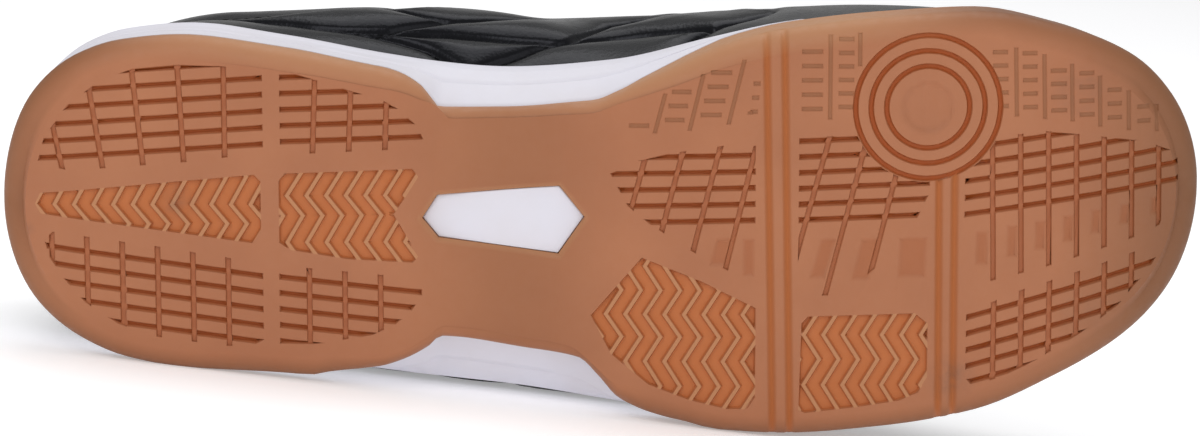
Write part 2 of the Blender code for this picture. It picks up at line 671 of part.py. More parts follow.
def make_upper(collection, cutters, made_of):
    """One black shell, open below and along the collar and throat, with punched eyelets."""
    bm = bmesh.new()
    feather = ring(-LEAN - RIM_THICKNESS - FIT_GAP - RIM_DRAFT, FLOOR + FIT_GAP)
    ups = np.linspace(0, 1, WALL_ROWS + 1)
    loft(bm, [feather, *(upper_point(SHARES, SIDES, up) for up in ups)])
    upper = new_object("upper", bm, made_of, collection)
    wall = upper.modifiers.new("wall", "SOLIDIFY")
    wall.thickness = UPPER_WALL
    wall.offset = -1
    for n, x in enumerate(EYELET_PLACES):
        for side in (-1, 1):
            point, normal = upper_over(x * MM, side * (throat_half(x * MM) + EYELET_FROM_EDGE))
            bm = bmesh.new()
            bmesh.ops.create_cone(
                bm,
                cap_ends=True,
                segments=6,
                radius1=EYELET_DIAMETER / 2,
                radius2=EYELET_DIAMETER / 2,
                depth=6 * UPPER_WALL,
                matrix=Matrix.Translation(point) @ Vector(normal).to_track_quat("Z", "Y").to_matrix().to_4x4(),
            )
            name = f"eyelet_{'medial' if side < 0 else 'lateral'}_{n}"
            cut_out(upper, new_object(name, bm, None, cutters))
    return upper


def under_upper(x, y):
    """A point a fitting gap below the inner face of the upper."""
    point, normal = upper_over(x, y)
    return point - normal * (UPPER_WALL + TONGUE_CLEARANCE)


def tongue_row(row):
    """Seven points across the tongue, on its upper face, from the medial to the lateral side."""
    half = throat_half(row.x * MM)
    reach = [half + row.under * MM, half + row.under / 2 * MM, half + 0.4 * MM]
    medial = [under_upper(row.x * MM, -y) for y in reach]
    lateral = [under_upper(row.x * MM, y) for y in reach]
    crown = (medial[-1] + lateral[-1]) / 2 + np.array([0, 0, row.crown * MM])
    return [*medial, crown, *lateral[::-1]]


def make_tongue(collection, made_of):
    """Padded strip under the throat, fixed below the vamp and free at the top."""
    front = []
    for share in np.linspace(-1, 1, 7):
        front.append(under_upper(TONGUE_FRONT_X - TONGUE_FRONT_BOW * share**2, TONGUE_FRONT_HALF * share))
    rows = [front, *(tongue_row(row) for row in TONGUE_ROWS)]
    free = np.array(rows[-1]) * (1, 0.85, 1) + np.array([-0.75, 0, 0.66]) * TONGUE_FREE_END
    bm = bmesh.new()
    loft(bm, [*rows, free], closed=False)
    tongue = new_object("tongue", bm, made_of, collection)
    pad = tongue.modifiers.new("pad", "SOLIDIFY")
    pad.thickness = TONGUE_THICKNESS
    pad.offset = -1
    return tongue


def make_lace_bar(n, x, collection, made_of):
    """One straight bar of the lace, from eyelet to eyelet over the tongue."""
    up = LACE_CLEARANCE + LACE_THICKNESS / 2
    reach = throat_half(x) + EYELET_FROM_EDGE
    loops = []
    for share in (-1, -0.78, -0.56, 0, 0.56, 0.78, 1):
        edge = math.copysign(max(abs(share), 0.56), share)
        point, normal = upper_over(x, reach * edge)
        point = point + normal * up
        if share == 0:
            point = point * (1, 0, 1) + np.array([0, 0, LACE_CROWN])
            normal = normal * (1, 0, 1)
        across = np.cross((0, 1, 0), normal)
        across *= LACE_WIDTH / 2 / np.linalg.norm(across)
        thick = normal / np.linalg.norm(normal) * LACE_THICKNESS / 2
        loops.append([point - across - thick, point + across - thick, point + across + thick, point - across + thick])
    bm = bmesh.new()
    rows = loft(bm, loops)
    bm.faces.new(rows[0])
    bm.faces.new(rows[-1])
    bmesh.ops.recalc_face_normals(bm, faces=bm.faces)
    return new_object(f"lace_bar_{n + 1}", bm, made_of, collection)


def volume_and_middle(points, triangles):
    corners = points[triangles]
    volumes = np.einsum("ij,ij->i", corners[:, 0], np.cross(corners[:, 1], corners[:, 2])) / 6
    return volumes.sum(), (corners.sum(1) / 4 * volumes[:, None]).sum(0) / volumes.sum()


def lie_down(pieces):
    """Turns the standing shoe onto its lateral side, resting on the flat of its hull under its weight."""
    graph = bpy.context.evaluated_depsgraph_get()
    hull = bmesh.new()
    total, moment = 0, np.zeros(3)
    everything = []
    for obj, density in pieces:
        mesh = obj.evaluated_get(graph).to_mesh()
        mesh.calc_loop_triangles()
        points = np.array([vert.co[:] for vert in mesh.vertices])
        triangles = np.array([triangle.vertices[:] for triangle in mesh.loop_triangles])
        volume, middle = volume_and_middle(points, triangles)
        total += volume * density
        moment += volume * density * middle
        everything.append(points)
        for point in points:
            hull.verts.new(point)
    weight = moment / total
    bmesh.ops.convex_hull(hull, input=hull.verts)
    bmesh.ops.triangulate(hull, faces=hull.faces)
    hull.normal_update()
    best, least = None, -1
    for face in hull.faces:
        if face.normal.y < 0.6:
            continue
        corners = np.array([vert.co[:] for vert in face.verts])
        normal = np.array(face.normal)
        foot = weight - normal * (normal @ (weight - corners[0]))
        inside = min(
            np.cross(b - a, foot - a) @ normal / np.linalg.norm(b - a)
            for a, b in zip(corners, np.roll(corners, -1, 0))
        )
        if inside > least:
            best, least = normal, inside
    hull.free()
    up = -best
    along = np.array([1, 0, 0]) - up * up[0]
    along /= np.linalg.norm(along)
    turn = np.array([along, np.cross(up, along), up])
    turned = np.concatenate(everything) @ turn.T
    low, high = turned.min(0), turned.max(0)
    matrix = np.eye(4)
    matrix[:3, :3] = turn
    matrix[:3, 3] = -(low + high) / 2
    matrix[2, 3] = -low[2]
    LYING.matrix_world = Matrix(matrix)
    return least


def material(name, colour, roughness):
    made = bpy.data.materials.new(name)
    made.use_nodes = True
    shader = made.node_tree.nodes["Principled BSDF"]
    shader.inputs["Base Color"].default_value = colour
    shader.inputs["Roughness"].default_value = roughness
    shader.inputs["Metallic"].default_value = 0
    return made


for leftover in list(bpy.data.objects):
    bpy.data.objects.remove(leftover)

SHOE = bpy.data.collections.new("indoor_court_shoe")
CUTTERS = bpy.data.collections.new("cutters")
bpy.context.scene.collection.children.link(SHOE)
bpy.context.scene.collection.children.link(CUTTERS)
LYING = bpy.data.objects.new("lying", None)
SHOE.objects.link(LYING)

# Each piece with the density that its weight is reckoned from, in kilograms per cubic metre.
PIECES = [
    (make_outsole(SHOE, CUTTERS, material("gum_rubber", GUM_COLOUR, 0.6)), 1150),
    (make_midsole(SHOE, material("white_foam", FOAM_COLOUR, 0.7)), 250),
    (make_insole(SHOE, material("sock_liner", LINING_COLOUR, 0.9)), 200),
    (make_upper(SHOE, CUTTERS, material("black_synthetic_leather", BLACK_COLOUR, 0.5)), 900),
    (make_tongue(SHOE, material("tongue_padding", BLACK_COLOUR, 0.8)), 300),
]
LACE_MATERIAL = material("lace_fabric", LACE_COLOUR, 0.85)
for number, place in enumerate(EYELET_PLACES):
    PIECES.append((make_lace_bar(number, place * MM, SHOE, LACE_MATERIAL), 700))
bpy.context.view_layer.update()
lie_down(PIECES)
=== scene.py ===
"""Looks of a left indoor court shoe that lies on its outer side and shows its sole.

The shoe is drawn standing, with x from heel to toe, y to its outer side and z up, and then laid down.
"""

import itertools
import json
import math
from collections import namedtuple

import bmesh
import bpy
import numpy as np
from mathutils import Matrix, Vector
from mathutils.kdtree import KDTree


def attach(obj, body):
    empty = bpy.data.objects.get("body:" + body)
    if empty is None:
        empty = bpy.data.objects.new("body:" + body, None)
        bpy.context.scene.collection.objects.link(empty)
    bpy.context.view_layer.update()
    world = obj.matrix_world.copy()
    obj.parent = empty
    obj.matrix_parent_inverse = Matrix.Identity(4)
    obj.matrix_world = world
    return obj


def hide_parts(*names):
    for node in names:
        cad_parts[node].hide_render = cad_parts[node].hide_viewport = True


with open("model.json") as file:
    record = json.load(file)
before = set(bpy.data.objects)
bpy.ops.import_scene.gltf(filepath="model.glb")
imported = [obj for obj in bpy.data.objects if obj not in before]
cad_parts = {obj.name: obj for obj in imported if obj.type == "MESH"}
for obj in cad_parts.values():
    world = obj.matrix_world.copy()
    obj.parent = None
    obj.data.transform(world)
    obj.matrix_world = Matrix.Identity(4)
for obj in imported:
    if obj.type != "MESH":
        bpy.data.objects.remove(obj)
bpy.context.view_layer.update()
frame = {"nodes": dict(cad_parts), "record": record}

# Place on the floor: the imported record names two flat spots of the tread, and the drawing knows where they
# are on the standing shoe. The turn from the one to the other lays every drawn piece on its outer side.
MM = 0.001
HEEL_SPOT = Vector((66.2, -2.0, 0.0)) * MM
FOREFOOT_SPOT = Vector((176.0, -27.0, 0.0)) * MM


def square_axes(along, up):
    """Three axes: the first along a line, the third as near as can be to a direction."""
    first = along.normalized()
    third = (up - first * up.dot(first)).normalized()
    return Matrix((first, third.cross(first), third)).transposed()


spots = {mount["name"]: mount for mount in frame["record"]["mounts"]}
heel_place = Vector(spots["heel_tread"]["pos_m"])
forefoot_place = Vector(spots["forefoot_tread"]["pos_m"])
drawn_axes = square_axes(FOREFOOT_SPOT - HEEL_SPOT, Vector((0, 0, 1)))
laid_axes = square_axes(forefoot_place - heel_place, -Vector(spots["heel_tread"]["axis"]))
LAID_TURN = laid_axes @ drawn_axes.transposed()
LAID_DOWN = Matrix.Translation(heel_place - LAID_TURN @ HEEL_SPOT) @ LAID_TURN.to_4x4()

# Floor, lights and camera: a pale studio floor, soft boxes above and in front, and a long lens that looks at
# the sole from a little above its inner edge, rolled with the shoe.
FLOOR_SIZE = 8.0
FLOOR_COLOUR = (0.90, 0.90, 0.91, 1)
FLOOR_GLOW = 0.33
FLOOR_CELLS = 8
AIR_COLOUR = (1.0, 1.0, 1.0, 1)
AIR_GLOW = 0.55
VIEW_TILT = math.radians(12)
VIEW_DISTANCE = 1.2
VIEW_LENS = 145.3
SENSOR_WIDTH = 36
VIEW_CENTRE = Vector((147.3, 4.84, 9.8)) * MM
SoftBox = namedtuple("SoftBox", "name place size watts")
SOFT_BOXES = [
    SoftBox("key_box", Vector((-0.55, -1.5, 1.15)), 1.0, 9),
    SoftBox("fill_box", Vector((1.2, -1.5, 0.7)), 1.1, 4),
    SoftBox("top_box", Vector((0.0, 0.35, 1.5)), 1.2, 9),
]
SOFT_BOX_AIM = Vector((0.0, 0.0, 0.05))


def new_material(name, roughness=0.5):
    """A node material, its tree and its shader."""
    made = bpy.data.materials.new(name)
    made.use_nodes = True
    shader = made.node_tree.nodes["Principled BSDF"]
    shader.inputs["Roughness"].default_value = roughness
    return made, made.node_tree, shader


def add_node(tree, kind, **values):
    """A node, with its properties and the values of its input sockets."""
    node = tree.nodes.new(kind)
    for name, value in values.items():
        if name in node.inputs:
            node.inputs[name].default_value = value
        else:
            setattr(node, name, value)
    return node


def feed(tree, socket, value):
    """Links a socket to an input, or sets the input to a plain value."""
    if isinstance(value, bpy.types.NodeSocket):
        tree.links.new(value, socket)
    else:
        socket.default_value = value


def mix_colours(tree, share, first, second):
    """A colour between two, each a socket or a plain colour."""
    mix = add_node(tree, "ShaderNodeMix", data_type="RGBA")
    feed(tree, mix.inputs["Factor"], share)
    feed(tree, mix.inputs[6], first)
    feed(tree, mix.inputs[7], second)
    return mix.outputs[2]


def ranged(tree, value, low, high, to_low=0.0, to_high=1.0):
    """A value moved from one range to another, and held inside it."""
    node = add_node(tree, "ShaderNodeMapRange")
    sockets = ("Value", "From Min", "From Max", "To Min", "To Max")
    for name, number in zip(sockets, (value, low, high, to_low, to_high)):
        feed(tree, node.inputs[name], number)
    return node.outputs["Result"]


def noise(tree, scale, detail=2.0, roughness=0.5):
    """Noise over the object's own coordinates."""
    place = add_node(tree, "ShaderNodeTexCoord")
    node = add_node(tree, "ShaderNodeTexNoise", Detail=detail, Roughness=roughness)
    feed(tree, node.inputs["Scale"], scale)
    tree.links.new(place.outputs["Object"], node.inputs["Vector"])
    return node.outputs["Fac"]


def bump(tree, shader, height, strength, distance):
    """Feeds a height to the shader's normal."""
    node = add_node(tree, "ShaderNodeBump", Strength=strength, Distance=distance)
    tree.links.new(height, node.inputs["Height"])
    tree.links.new(node.outputs["Normal"], shader.inputs["Normal"])


def new_object(name, data):
    """An object in the scene."""
    made = bpy.data.objects.new(name, data)
    bpy.context.scene.collection.objects.link(made)
    return made


def drawn_object(name, bm, materials):
    """An object of a drawn mesh, with its materials."""
    mesh = bpy.data.meshes.new(name)
    bm.to_mesh(mesh)
    bm.free()
    for material in materials:
        mesh.materials.append(material)
    return new_object(name, mesh)


floor_bm = bmesh.new()
bmesh.ops.create_grid(floor_bm, x_segments=FLOOR_CELLS, y_segments=FLOOR_CELLS, size=FLOOR_SIZE / 2)
floor_material, _, floor_shader = new_material("pale_floor", 0.8)
floor_shader.inputs["Base Color"].default_value = FLOOR_COLOUR
floor_shader.inputs["Emission Color"].default_value = FLOOR_COLOUR
floor_shader.inputs["Emission Strength"].default_value = FLOOR_GLOW
floor = drawn_object("studio_floor", floor_bm, [floor_material])

air = bpy.data.worlds.new("studio_air")
air.use_nodes = True
air_shader = air.node_tree.nodes["Background"]
air_shader.inputs["Color"].default_value = AIR_COLOUR
air_shader.inputs["Strength"].default_value = AIR_GLOW
bpy.context.scene.world = air
bpy.context.scene.view_settings.view_transform = "Standard"

for box in SOFT_BOXES:
    light = bpy.data.lights.new(box.name, "AREA")
    light.energy = box.watts
    light.size = box.size
    lamp = new_object(box.name, light)
    lamp.location = box.place
    lamp.rotation_euler = (SOFT_BOX_AIM - box.place).to_track_quat("-Z", "Y").to_euler()

view_back = Vector((0, -math.sin(VIEW_TILT), -math.cos(VIEW_TILT)))
view_right = Vector((1, 0, 0))
view_matrix = Matrix((view_right, view_back.cross(view_right), view_back)).transposed().to_4x4()
view_matrix.translation = VIEW_CENTRE + view_back * VIEW_DISTANCE
camera_data = bpy.data.cameras.new("view")
camera_data.lens = VIEW_LENS
camera_data.sensor_width = SENSOR_WIDTH
camera = new_object("view", camera_data)
camera.matrix_world = LAID_DOWN @ view_matrix
bpy.context.scene.camera = camera

# Outsole: one moulding of gum rubber, a plate with the tread below and a cup wall round it, cemented to the
# foam. Its tread is cut by upright planes, and what lies between the cuts is then sunk.
SOLE_LENGTH = 296 * MM
BALL_WIDTH = 104 * MM
OUTSOLE_PLATE = 3.6 * MM
TREAD_DEPTH = 1.3 * MM
RECESS_DEPTH = 0.6 * MM
RECESS_DRAFT = 1.4 * MM
FAINT_DEPTH = 0.3 * MM
FAINT_DRAFT = 0.35 * MM
SOFT_STEPS = 3
RIM_DRAFT = 0.8 * MM
GUM_WALL = 2.1 * MM
GUM_LIP = 0.9 * MM
LIP_FROM = 1.5 * MM
LIP_REACH = 3.0 * MM
EDGE_ROUND = 6.0 * MM
EDGE_HEIGHT = 5.0 * MM
FIT_GAP = 0.3 * MM
MERGE_REACH = 0.002 * MM

# Cross sections of the sole from heel to toe. at: share of SOLE_LENGTH; medial and lateral: half widths,
# shares of BALL_WIDTH; the rest in millimetres. ground: tread above the floor; floor: the cup that the insole
# lies on; bite: where the upper leaves the sole; gum: top of the rubber's side; lean: how far the side leans
# in.
Section = namedtuple("Section", "at medial lateral ground floor bite gum lean")
SECTIONS = [
    Section(0.000, 0.000, 0.000, 4.0, 23.5, 30.5, 11.0, 3.5),
    Section(0.027, 0.268, 0.238, 1.2, 23.0, 30.0, 9.5, 3.2),
    Section(0.068, 0.364, 0.333, 0.0, 22.5, 29.0, 8.5, 3.0),
    Section(0.100, 0.392, 0.372, 0.0, 22.0, 28.3, 8.2, 2.8),
    Section(0.149, 0.404, 0.398, 0.0, 21.5, 27.5, 8.0, 2.5),
    Section(0.236, 0.372, 0.413, 0.0, 20.0, 26.5, 7.8, 1.5),
    Section(0.321, 0.322, 0.441, 0.6, 19.0, 26.5, 7.4, 0.0),
    Section(0.422, 0.284, 0.470, 2.5, 18.5, 27.0, 7.0, -1.0),
    Section(0.507, 0.308, 0.511, 1.0, 17.0, 26.0, 8.5, -0.4),
    Section(0.591, 0.376, 0.551, 0.0, 14.5, 23.5, 15.5, 0.6),
    Section(0.652, 0.420, 0.561, 0.0, 13.0, 21.5, 19.2, 1.0),
    Section(0.733, 0.447, 0.544, 0.0, 12.5, 21.0, 21.4, 1.2),
    Section(0.811, 0.460, 0.506, 0.8, 13.2, 22.0, 22.4, 1.5),
    Section(0.878, 0.424, 0.428, 3.0, 15.2, 24.0, 24.4, 1.8),
    Section(0.939, 0.350, 0.330, 7.0, 18.5, 27.0, 27.4, 2.0),
    Section(0.976, 0.245, 0.222, 10.5, 21.5, 29.5, 29.9, 2.0),
    Section(1.000, 0.020, -0.020, 13.0, 23.0, 31.0, 31.4, 2.0),
]
# Half widths of the rubber where it draws in to a bridge under the arch, in millimetres.
Bridge = namedtuple("Bridge", "x medial lateral")
GUM_BRIDGE = [
    Bridge(70, 41.0, 45.0),
    Bridge(80, 37.2, 42.6),
    Bridge(92, 34.2, 41.2),
    Bridge(98, 32.4, 39.3),
    Bridge(104, 28.9, 35.9),
    Bridge(106.5, 26.2, 33.5),
    Bridge(109, 23.7, 33.6),
    Bridge(126, 23.9, 36.3),
    Bridge(139.5, 24.8, 38.8),
    Bridge(145, 25.2, 43.3),
    Bridge(151, 27.4, 49.2),
    Bridge(157, 30.4, 52.3),
    Bridge(163, 33.2, 54.2),
    Bridge(169, 36.0, 55.6),
    Bridge(180, 40.8, 59.0),
]
# Window in the bridge, open to the foam above it, x and y in millimetres, and how its edge is rounded.
WINDOW_CORNERS = [(103.5, 3.2), (107.5, 8.2), (137.0, 12.4), (143.5, 3.0), (137.3, -4.8), (107.2, -2.6)]
WINDOW_ROUND = 1.4 * MM
WINDOW_DROP = 0.6 * WINDOW_ROUND
WINDOW_STEPS = (0.66, 0.33, 0)


def smooth(knots, values, at):
    """A curve through the values that never overshoots them, read at one or more places."""
    knots, values = np.asarray(knots, float), np.asarray(values, float)
    steps = np.diff(knots)
    rates = np.diff(values) / steps
    slopes = np.zeros(len(knots))
    slopes[0], slopes[-1] = rates[0], rates[-1]
    same = rates[:-1] * rates[1:] > 0
    slopes[1:-1][same] = 2 * rates[:-1][same] * rates[1:][same] / (rates[:-1] + rates[1:])[same]
    at = np.clip(at, knots[0], knots[-1])
    k = np.clip(np.searchsorted(knots, at) - 1, 0, len(steps) - 1)
    t = (at - knots[k]) / steps[k]
    rise = (3 - 2 * t) * t * t
    return (
        values[k] * (1 - rise)
        + values[k + 1] * rise
        + steps[k] * t * (1 - t) * ((1 - t) * slopes[k] - t * slopes[k + 1])
    )


def column(rows, name, at):
    """One column of a table, read at places of its first column."""
    return smooth([row[0] for row in rows], [getattr(row, name) for row in rows], at)


def share_of(value):
    """A share held between 0 and 1."""
    return np.clip(value, 0, 1)


def eased(share):
    """A share held between 0 and 1, rising softly at both ends."""
    share = share_of(share)
    return share * share * (3 - 2 * share)


def share_round(at):
    """The share round the shoe of a share of the length: the ends are as round as a half circle."""
    return np.arccos(1 - 2 * share_of(at)) / math.pi


OUTLINE_STEP = 0.004


def section(name, share):
    """One column of SECTIONS, read at shares round the shoe."""
    knots = [share_round(row.at) for row in SECTIONS]
    return smooth(knots, [getattr(row, name) for row in SECTIONS], share)


def ground_height(x):
    """Height of the tread above the ground when the shoe stands, at a distance from the heel."""
    return section("ground", share_round(np.asarray(x) / SOLE_LENGTH)) * MM


def outline_at(share, side):
    """x and y of the widest outline of the sole. side: -1 medial, 1 lateral, 0 at the two ends."""
    x = (1 - np.cos(math.pi * share)) / 2 * SOLE_LENGTH
    medial = -section("medial", share) * BALL_WIDTH
    lateral = section("lateral", share) * BALL_WIDTH
    return np.stack([x, np.where(np.asarray(side) > 0, lateral, medial)], -1)


def unit(vectors):
    """Vectors of length 1."""
    return vectors / np.linalg.norm(vectors, axis=-1)[..., None]


def outward_at(share, side):
    """Unit direction out of the outline, square to it."""
    share, side = np.asarray(share, float), np.asarray(side)
    before, after = share_of(share - OUTLINE_STEP), share_of(share + OUTLINE_STEP)
    along = outline_at(after, side) - outline_at(before, side)
    along = unit(along * np.where(side > 0, -1, 1)[..., None])
    out = np.stack([along[..., 1], -along[..., 0]], -1)
    end = np.stack([np.where(share < 0.5, -1.0, 1.0), np.zeros(share.shape)], -1)
    return np.where((side == 0)[..., None], end, out)


def both_sides(half):
    """Shares round the shoe and sides of a closed loop of places: heel, medial side, toe, lateral side."""
    between = len(half) - 2
    sides = np.array([0] + [-1] * between + [0] + [1] * between)
    return np.concatenate([half, half[-2:0:-1]]), sides


# The loop of places that the sole is drawn over, closer together where the rubber draws in.
STATION_GAP = 0.003
even = np.linspace(0, 1, 113)
beside = share_round(np.arange(92.0, 168.0, 1.5) * MM / SOLE_LENGTH)
even = even[(even < beside[0] - STATION_GAP) | (even > beside[-1] + STATION_GAP)]
STATIONS = np.sort(np.concatenate([even, beside]))
LAST = len(STATIONS) - 1
SHARES, SIDES = both_sides(STATIONS)
OUTLINE = outline_at(SHARES, SIDES)
OUTWARD = outward_at(SHARES, SIDES)
GROUND = ground_height(OUTLINE[:, 0])
FLOOR = section("floor", SHARES) * MM
BITE = section("bite", SHARES) * MM
GUM = section("gum", SHARES) * MM
LEAN = section("lean", SHARES) * MM


def gum_notch():
    """How far the edge of the rubber lies inside the outline, where it draws in under the arch."""
    x = OUTLINE[:, 0] / MM
    edge = np.where(SIDES > 0, column(GUM_BRIDGE, "lateral", x), column(GUM_BRIDGE, "medial", x)) * MM
    beside = (x > GUM_BRIDGE[0].x) & (x < GUM_BRIDGE[-1].x)
    return np.where(beside, np.maximum(np.abs(OUTLINE[:, 1]) - edge, 0), 0)


NOTCH = gum_notch()
# 1 along the bridge, where the rubber is only a low lip, and 0 where it is a cup wall.
BRIDGE_SHARE = share_of((NOTCH - LIP_FROM) / LIP_REACH)
GUM_THICKNESS = GUM_WALL + (GUM_LIP - GUM_WALL) * BRIDGE_SHARE


def ring(offset, height):
    """A loop of points at a distance outside the outline and a height above the ground."""
    offset = np.broadcast_to(offset, SHARES.shape)
    height = np.broadcast_to(height, SHARES.shape)
    return np.column_stack([OUTLINE + OUTWARD * offset[:, None], height])


def outer_offset(height):
    """Offset of the sole's leaning outer face at a height, without the notch of the bridge."""
    low = GROUND + EDGE_HEIGHT
    return -LEAN * share_of((height - low) / (BITE - low))


def gum_inner_offset(height):
    """Offset of the inner face of the rubber's side at a height."""
    low = GROUND + OUTSOLE_PLATE
    up = share_of((height - low) / (GUM - low))
    foot = -NOTCH - GUM_THICKNESS - RIM_DRAFT
    top = -NOTCH + outer_offset(GUM) - GUM_THICKNESS
    return foot + (top - foot) * up


def plate_ring(inset, above):
    """The loop where the rubber's plate meets its side, a little inside it and above the tread."""
    points = ring(gum_inner_offset(GROUND) - inset, 0)
    points[:, 2] = ground_height(points[:, 0]) + above
    return points


def mapped_grid(bm, points, mark):
    """A grid of faces over rows of points. The faces carry the mark as their material number."""
    rows, columns = points.shape[0] - 1, points.shape[1] - 1
    made = bmesh.ops.create_grid(bm, x_segments=columns, y_segments=rows, size=0.5)["verts"]
    for vert in made:
        vert.co = points[round((vert.co.y + 0.5) * rows), round((vert.co.x + 0.5) * columns)]
    for face in {face for vert in made for face in vert.link_faces}:
        face.material_index = mark
    return made


def closed_rows(loops):
    """Loops stacked as rows, with their first point again at the end."""
    return np.array([np.vstack([loop, loop[:1]]) for loop in loops])


def strips(loop):
    """Two rows that run along the medial and the lateral half of a loop, from heel to toe."""
    medial = loop[: LAST + 1]
    lateral = np.vstack([loop[:1], loop[:LAST - 1:-1]])
    return np.array([medial, lateral])


def sew(bm):
    """Merges the points where grids meet, and turns every face outward."""
    bmesh.ops.remove_doubles(bm, verts=bm.verts, dist=MERGE_REACH)
    bmesh.ops.recalc_face_normals(bm, faces=bm.faces)


def verts_of(faces):
    """The vertices of some faces, each once."""
    return {vert for face in faces for vert in face.verts}


def open_edges(bm):
    """The edges round the holes of a mesh."""
    return [edge for edge in bm.edges if edge.is_boundary]


def finished_piece(name, bm, materials, nodes=()):
    """Lays a drawn mesh down, makes it an object with its materials, and hands it to the frame."""
    bm.transform(LAID_DOWN)
    piece = drawn_object(name, bm, materials)
    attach(piece, "root")
    if nodes:
        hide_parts(*nodes)
    return piece


def soften(bm, angle):
    """Smooth shading, with a crease wherever two faces meet at more than an angle in degrees."""
    for face in bm.faces:
        face.smooth = True
    for edge in bm.edges:
        edge.smooth = not edge.is_manifold or edge.calc_face_angle(0) < math.radians(angle)


# Blocks cut by two families of straight grooves, x and y in millimetres. outline: convex edge of the zone;
# along: first y, pitch and count of the grooves that run heel to toe, at x = along_at, with their slope;
# across: the same for those that run side to side, at y = across_at, with the lean of the first and last.
Grid = namedtuple("Grid", "outline along_at along slope across_at across lean")
GRIDS = [
    Grid(
        [(9, -10.4), (11, -17.5), (17, -25.6), (24.4, -31.2), (33, -34.6), (44.2, -35.6), (55.4, -35.2),
         (64.8, -33), (64.8, -13.4), (46.4, -11.2), (17.6, -9)],
        43, (-14.3, -4.12, 6), -0.065, -20, (55.3, -10.5, 5), (0.0, 0.2)),
    Grid(
        [(68.8, -33.8), (72, -33.6), (86.5, -29), (95, -26.2), (98.5, -24), (102.6, -20), (104, -17),
         (103.8, -15.6), (95, -14), (68.8, -13)],
        85, (-16.8, -4.0, 5), -0.03, -20, (77.1, 8.85, 3), (-0.04, -0.04)),
    Grid(
        [(10.4, 8.2), (12.6, 6.2), (21.4, 7.4), (39.4, 10), (56.4, 12.8), (64.4, 16), (64.4, 33.6),
         (61.4, 35.2), (54.4, 35.2), (36.4, 32.6), (28.4, 29.6), (20.4, 24.2), (15, 18), (11.6, 12.8)],
        38.2, (13.7, 4.18, 5), 0.143, 20, (12.4, 8.67, 6), (0.0, 0.0)),
    Grid(
        [(68.2, 15.8), (75, 15.2), (94, 17.2), (103.5, 20), (103.5, 22.4), (101, 26.2), (97, 29.8),
         (91, 32.6), (76.5, 34.8), (68.2, 34.6)],
        84.4, (19.5, 4.06, 5), 0.12, 25, (75.7, 8.75, 3), (0.0, 0.0)),
    Grid(
        [(149.7, -8.2), (157, -11.6), (164, -13.4), (177.4, -15.4), (185.6, -15.4), (185.6, 18), (178.4, 16),
         (169.4, 11), (159.3, 4.4), (154, 0)],
        171.2, (-12.6, 4.07, 5), -0.023, -4.3, (183.0, -8.9, 4), (-0.24, -0.27)),
    Grid(
        [(196, -17.4), (228.4, -19), (228.4, 3.6), (222.4, 9), (216, 22.6), (199.5, 22.4), (196, 14)],
        211.3, (-17.1, 3.95, 6), -0.045, 3, (198.1, 9.6, 3), (-0.27, -0.24)),
    Grid(
        [(236.8, -13), (243.6, -17.4), (256.6, -18.6), (265, -17.6), (281, -15.2), (288.4, -12.4),
         (290.4, -10), (290.6, -4.6), (286, 6.6), (279.2, 9.4), (258.6, 15.4), (243.6, 19), (236.8, 3)],
        258.2, (-17.4, 4.16, 5), -0.131, -8, (243.7, 6.95, 7), (0.02, 0.02)),
    Grid(
        [(237.6, 26.8), (251, 21.2), (272, 15), (280, 12.6), (285.8, 13.6), (284.2, 16.6), (275.4, 26.6),
         (266, 33.2), (252.6, 40.8), (246.2, 43.6), (239.2, 45.4), (237.6, 43.4)],
        254.8, (23.5, 4.15, 5), -0.265, 30, (244.5, 6.9, 6), (0.0, 0.0)),
]
GROOVE_ALONG_WIDTH = 1.7 * MM
GROOVE_ACROSS_WIDTH = 1.6 * MM
# Sunk panels with zigzag ribs left standing, each of one convex outline or of two that share their first
# edge. levels: the y where the ribs turn, the first turn towards the toe; start: x of one rib where it turns
# to the heel.
Herringbone = namedtuple("Herringbone", "outlines levels start")
HERRINGBONES = [
    Herringbone(
        [[(8.4, -0.6), (9.8, -3.4), (62.4, -8.1), (64, -6.4), (64, 5.8), (61.8, 9.1), (9.8, 1.8)]],
        (-7.6, -0.6, 4.2, 10.4), 22.9),
    Herringbone(
        [[(96.6, 2), (68.4, 2), (68.4, -6.6), (69.9, -8.4), (101.2, -9.4), (102.8, -7.2)],
         [(68.4, 2), (96.6, 2), (102.6, 12.6), (101.2, 14.2), (85.2, 13.2), (71, 10.8), (68.4, 9)]],
        (-9.0, -2.8, 2.2, 8.9, 14.4), 70.4),
    Herringbone(
        [[(145, 27.6), (157.6, 12.8), (160.4, 12.8), (172, 18.6), (184, 23.4), (185.7, 25.6), (185.7, 48.2),
          (183.7, 51.2), (178.7, 51.2), (169, 48.8), (159.2, 45), (150, 37.4)]],
        (21.1, 27.2, 32.9, 39.1, 45.4, 51.5), 148.7),
    Herringbone(
        [[(197, 29.4), (198.6, 27.6), (225, 26.8), (228.2, 29.4), (228.2, 43.2), (226, 47), (221.4, 49),
          (211.4, 50.6), (198, 52.2), (196.4, 51.4)]],
        (26.0, 32.3, 38.5, 45.0, 51.4), 202.4),
]
RIB_PITCH = 4.82 * MM
RIB_SWING = 3.9 * MM
RIB_WIDTH = 0.85 * MM
POCKET_DEPTH = 1.2 * MM
POCKET_DRAFT = 0.4 * MM
POCKET_SUNK = 0.55
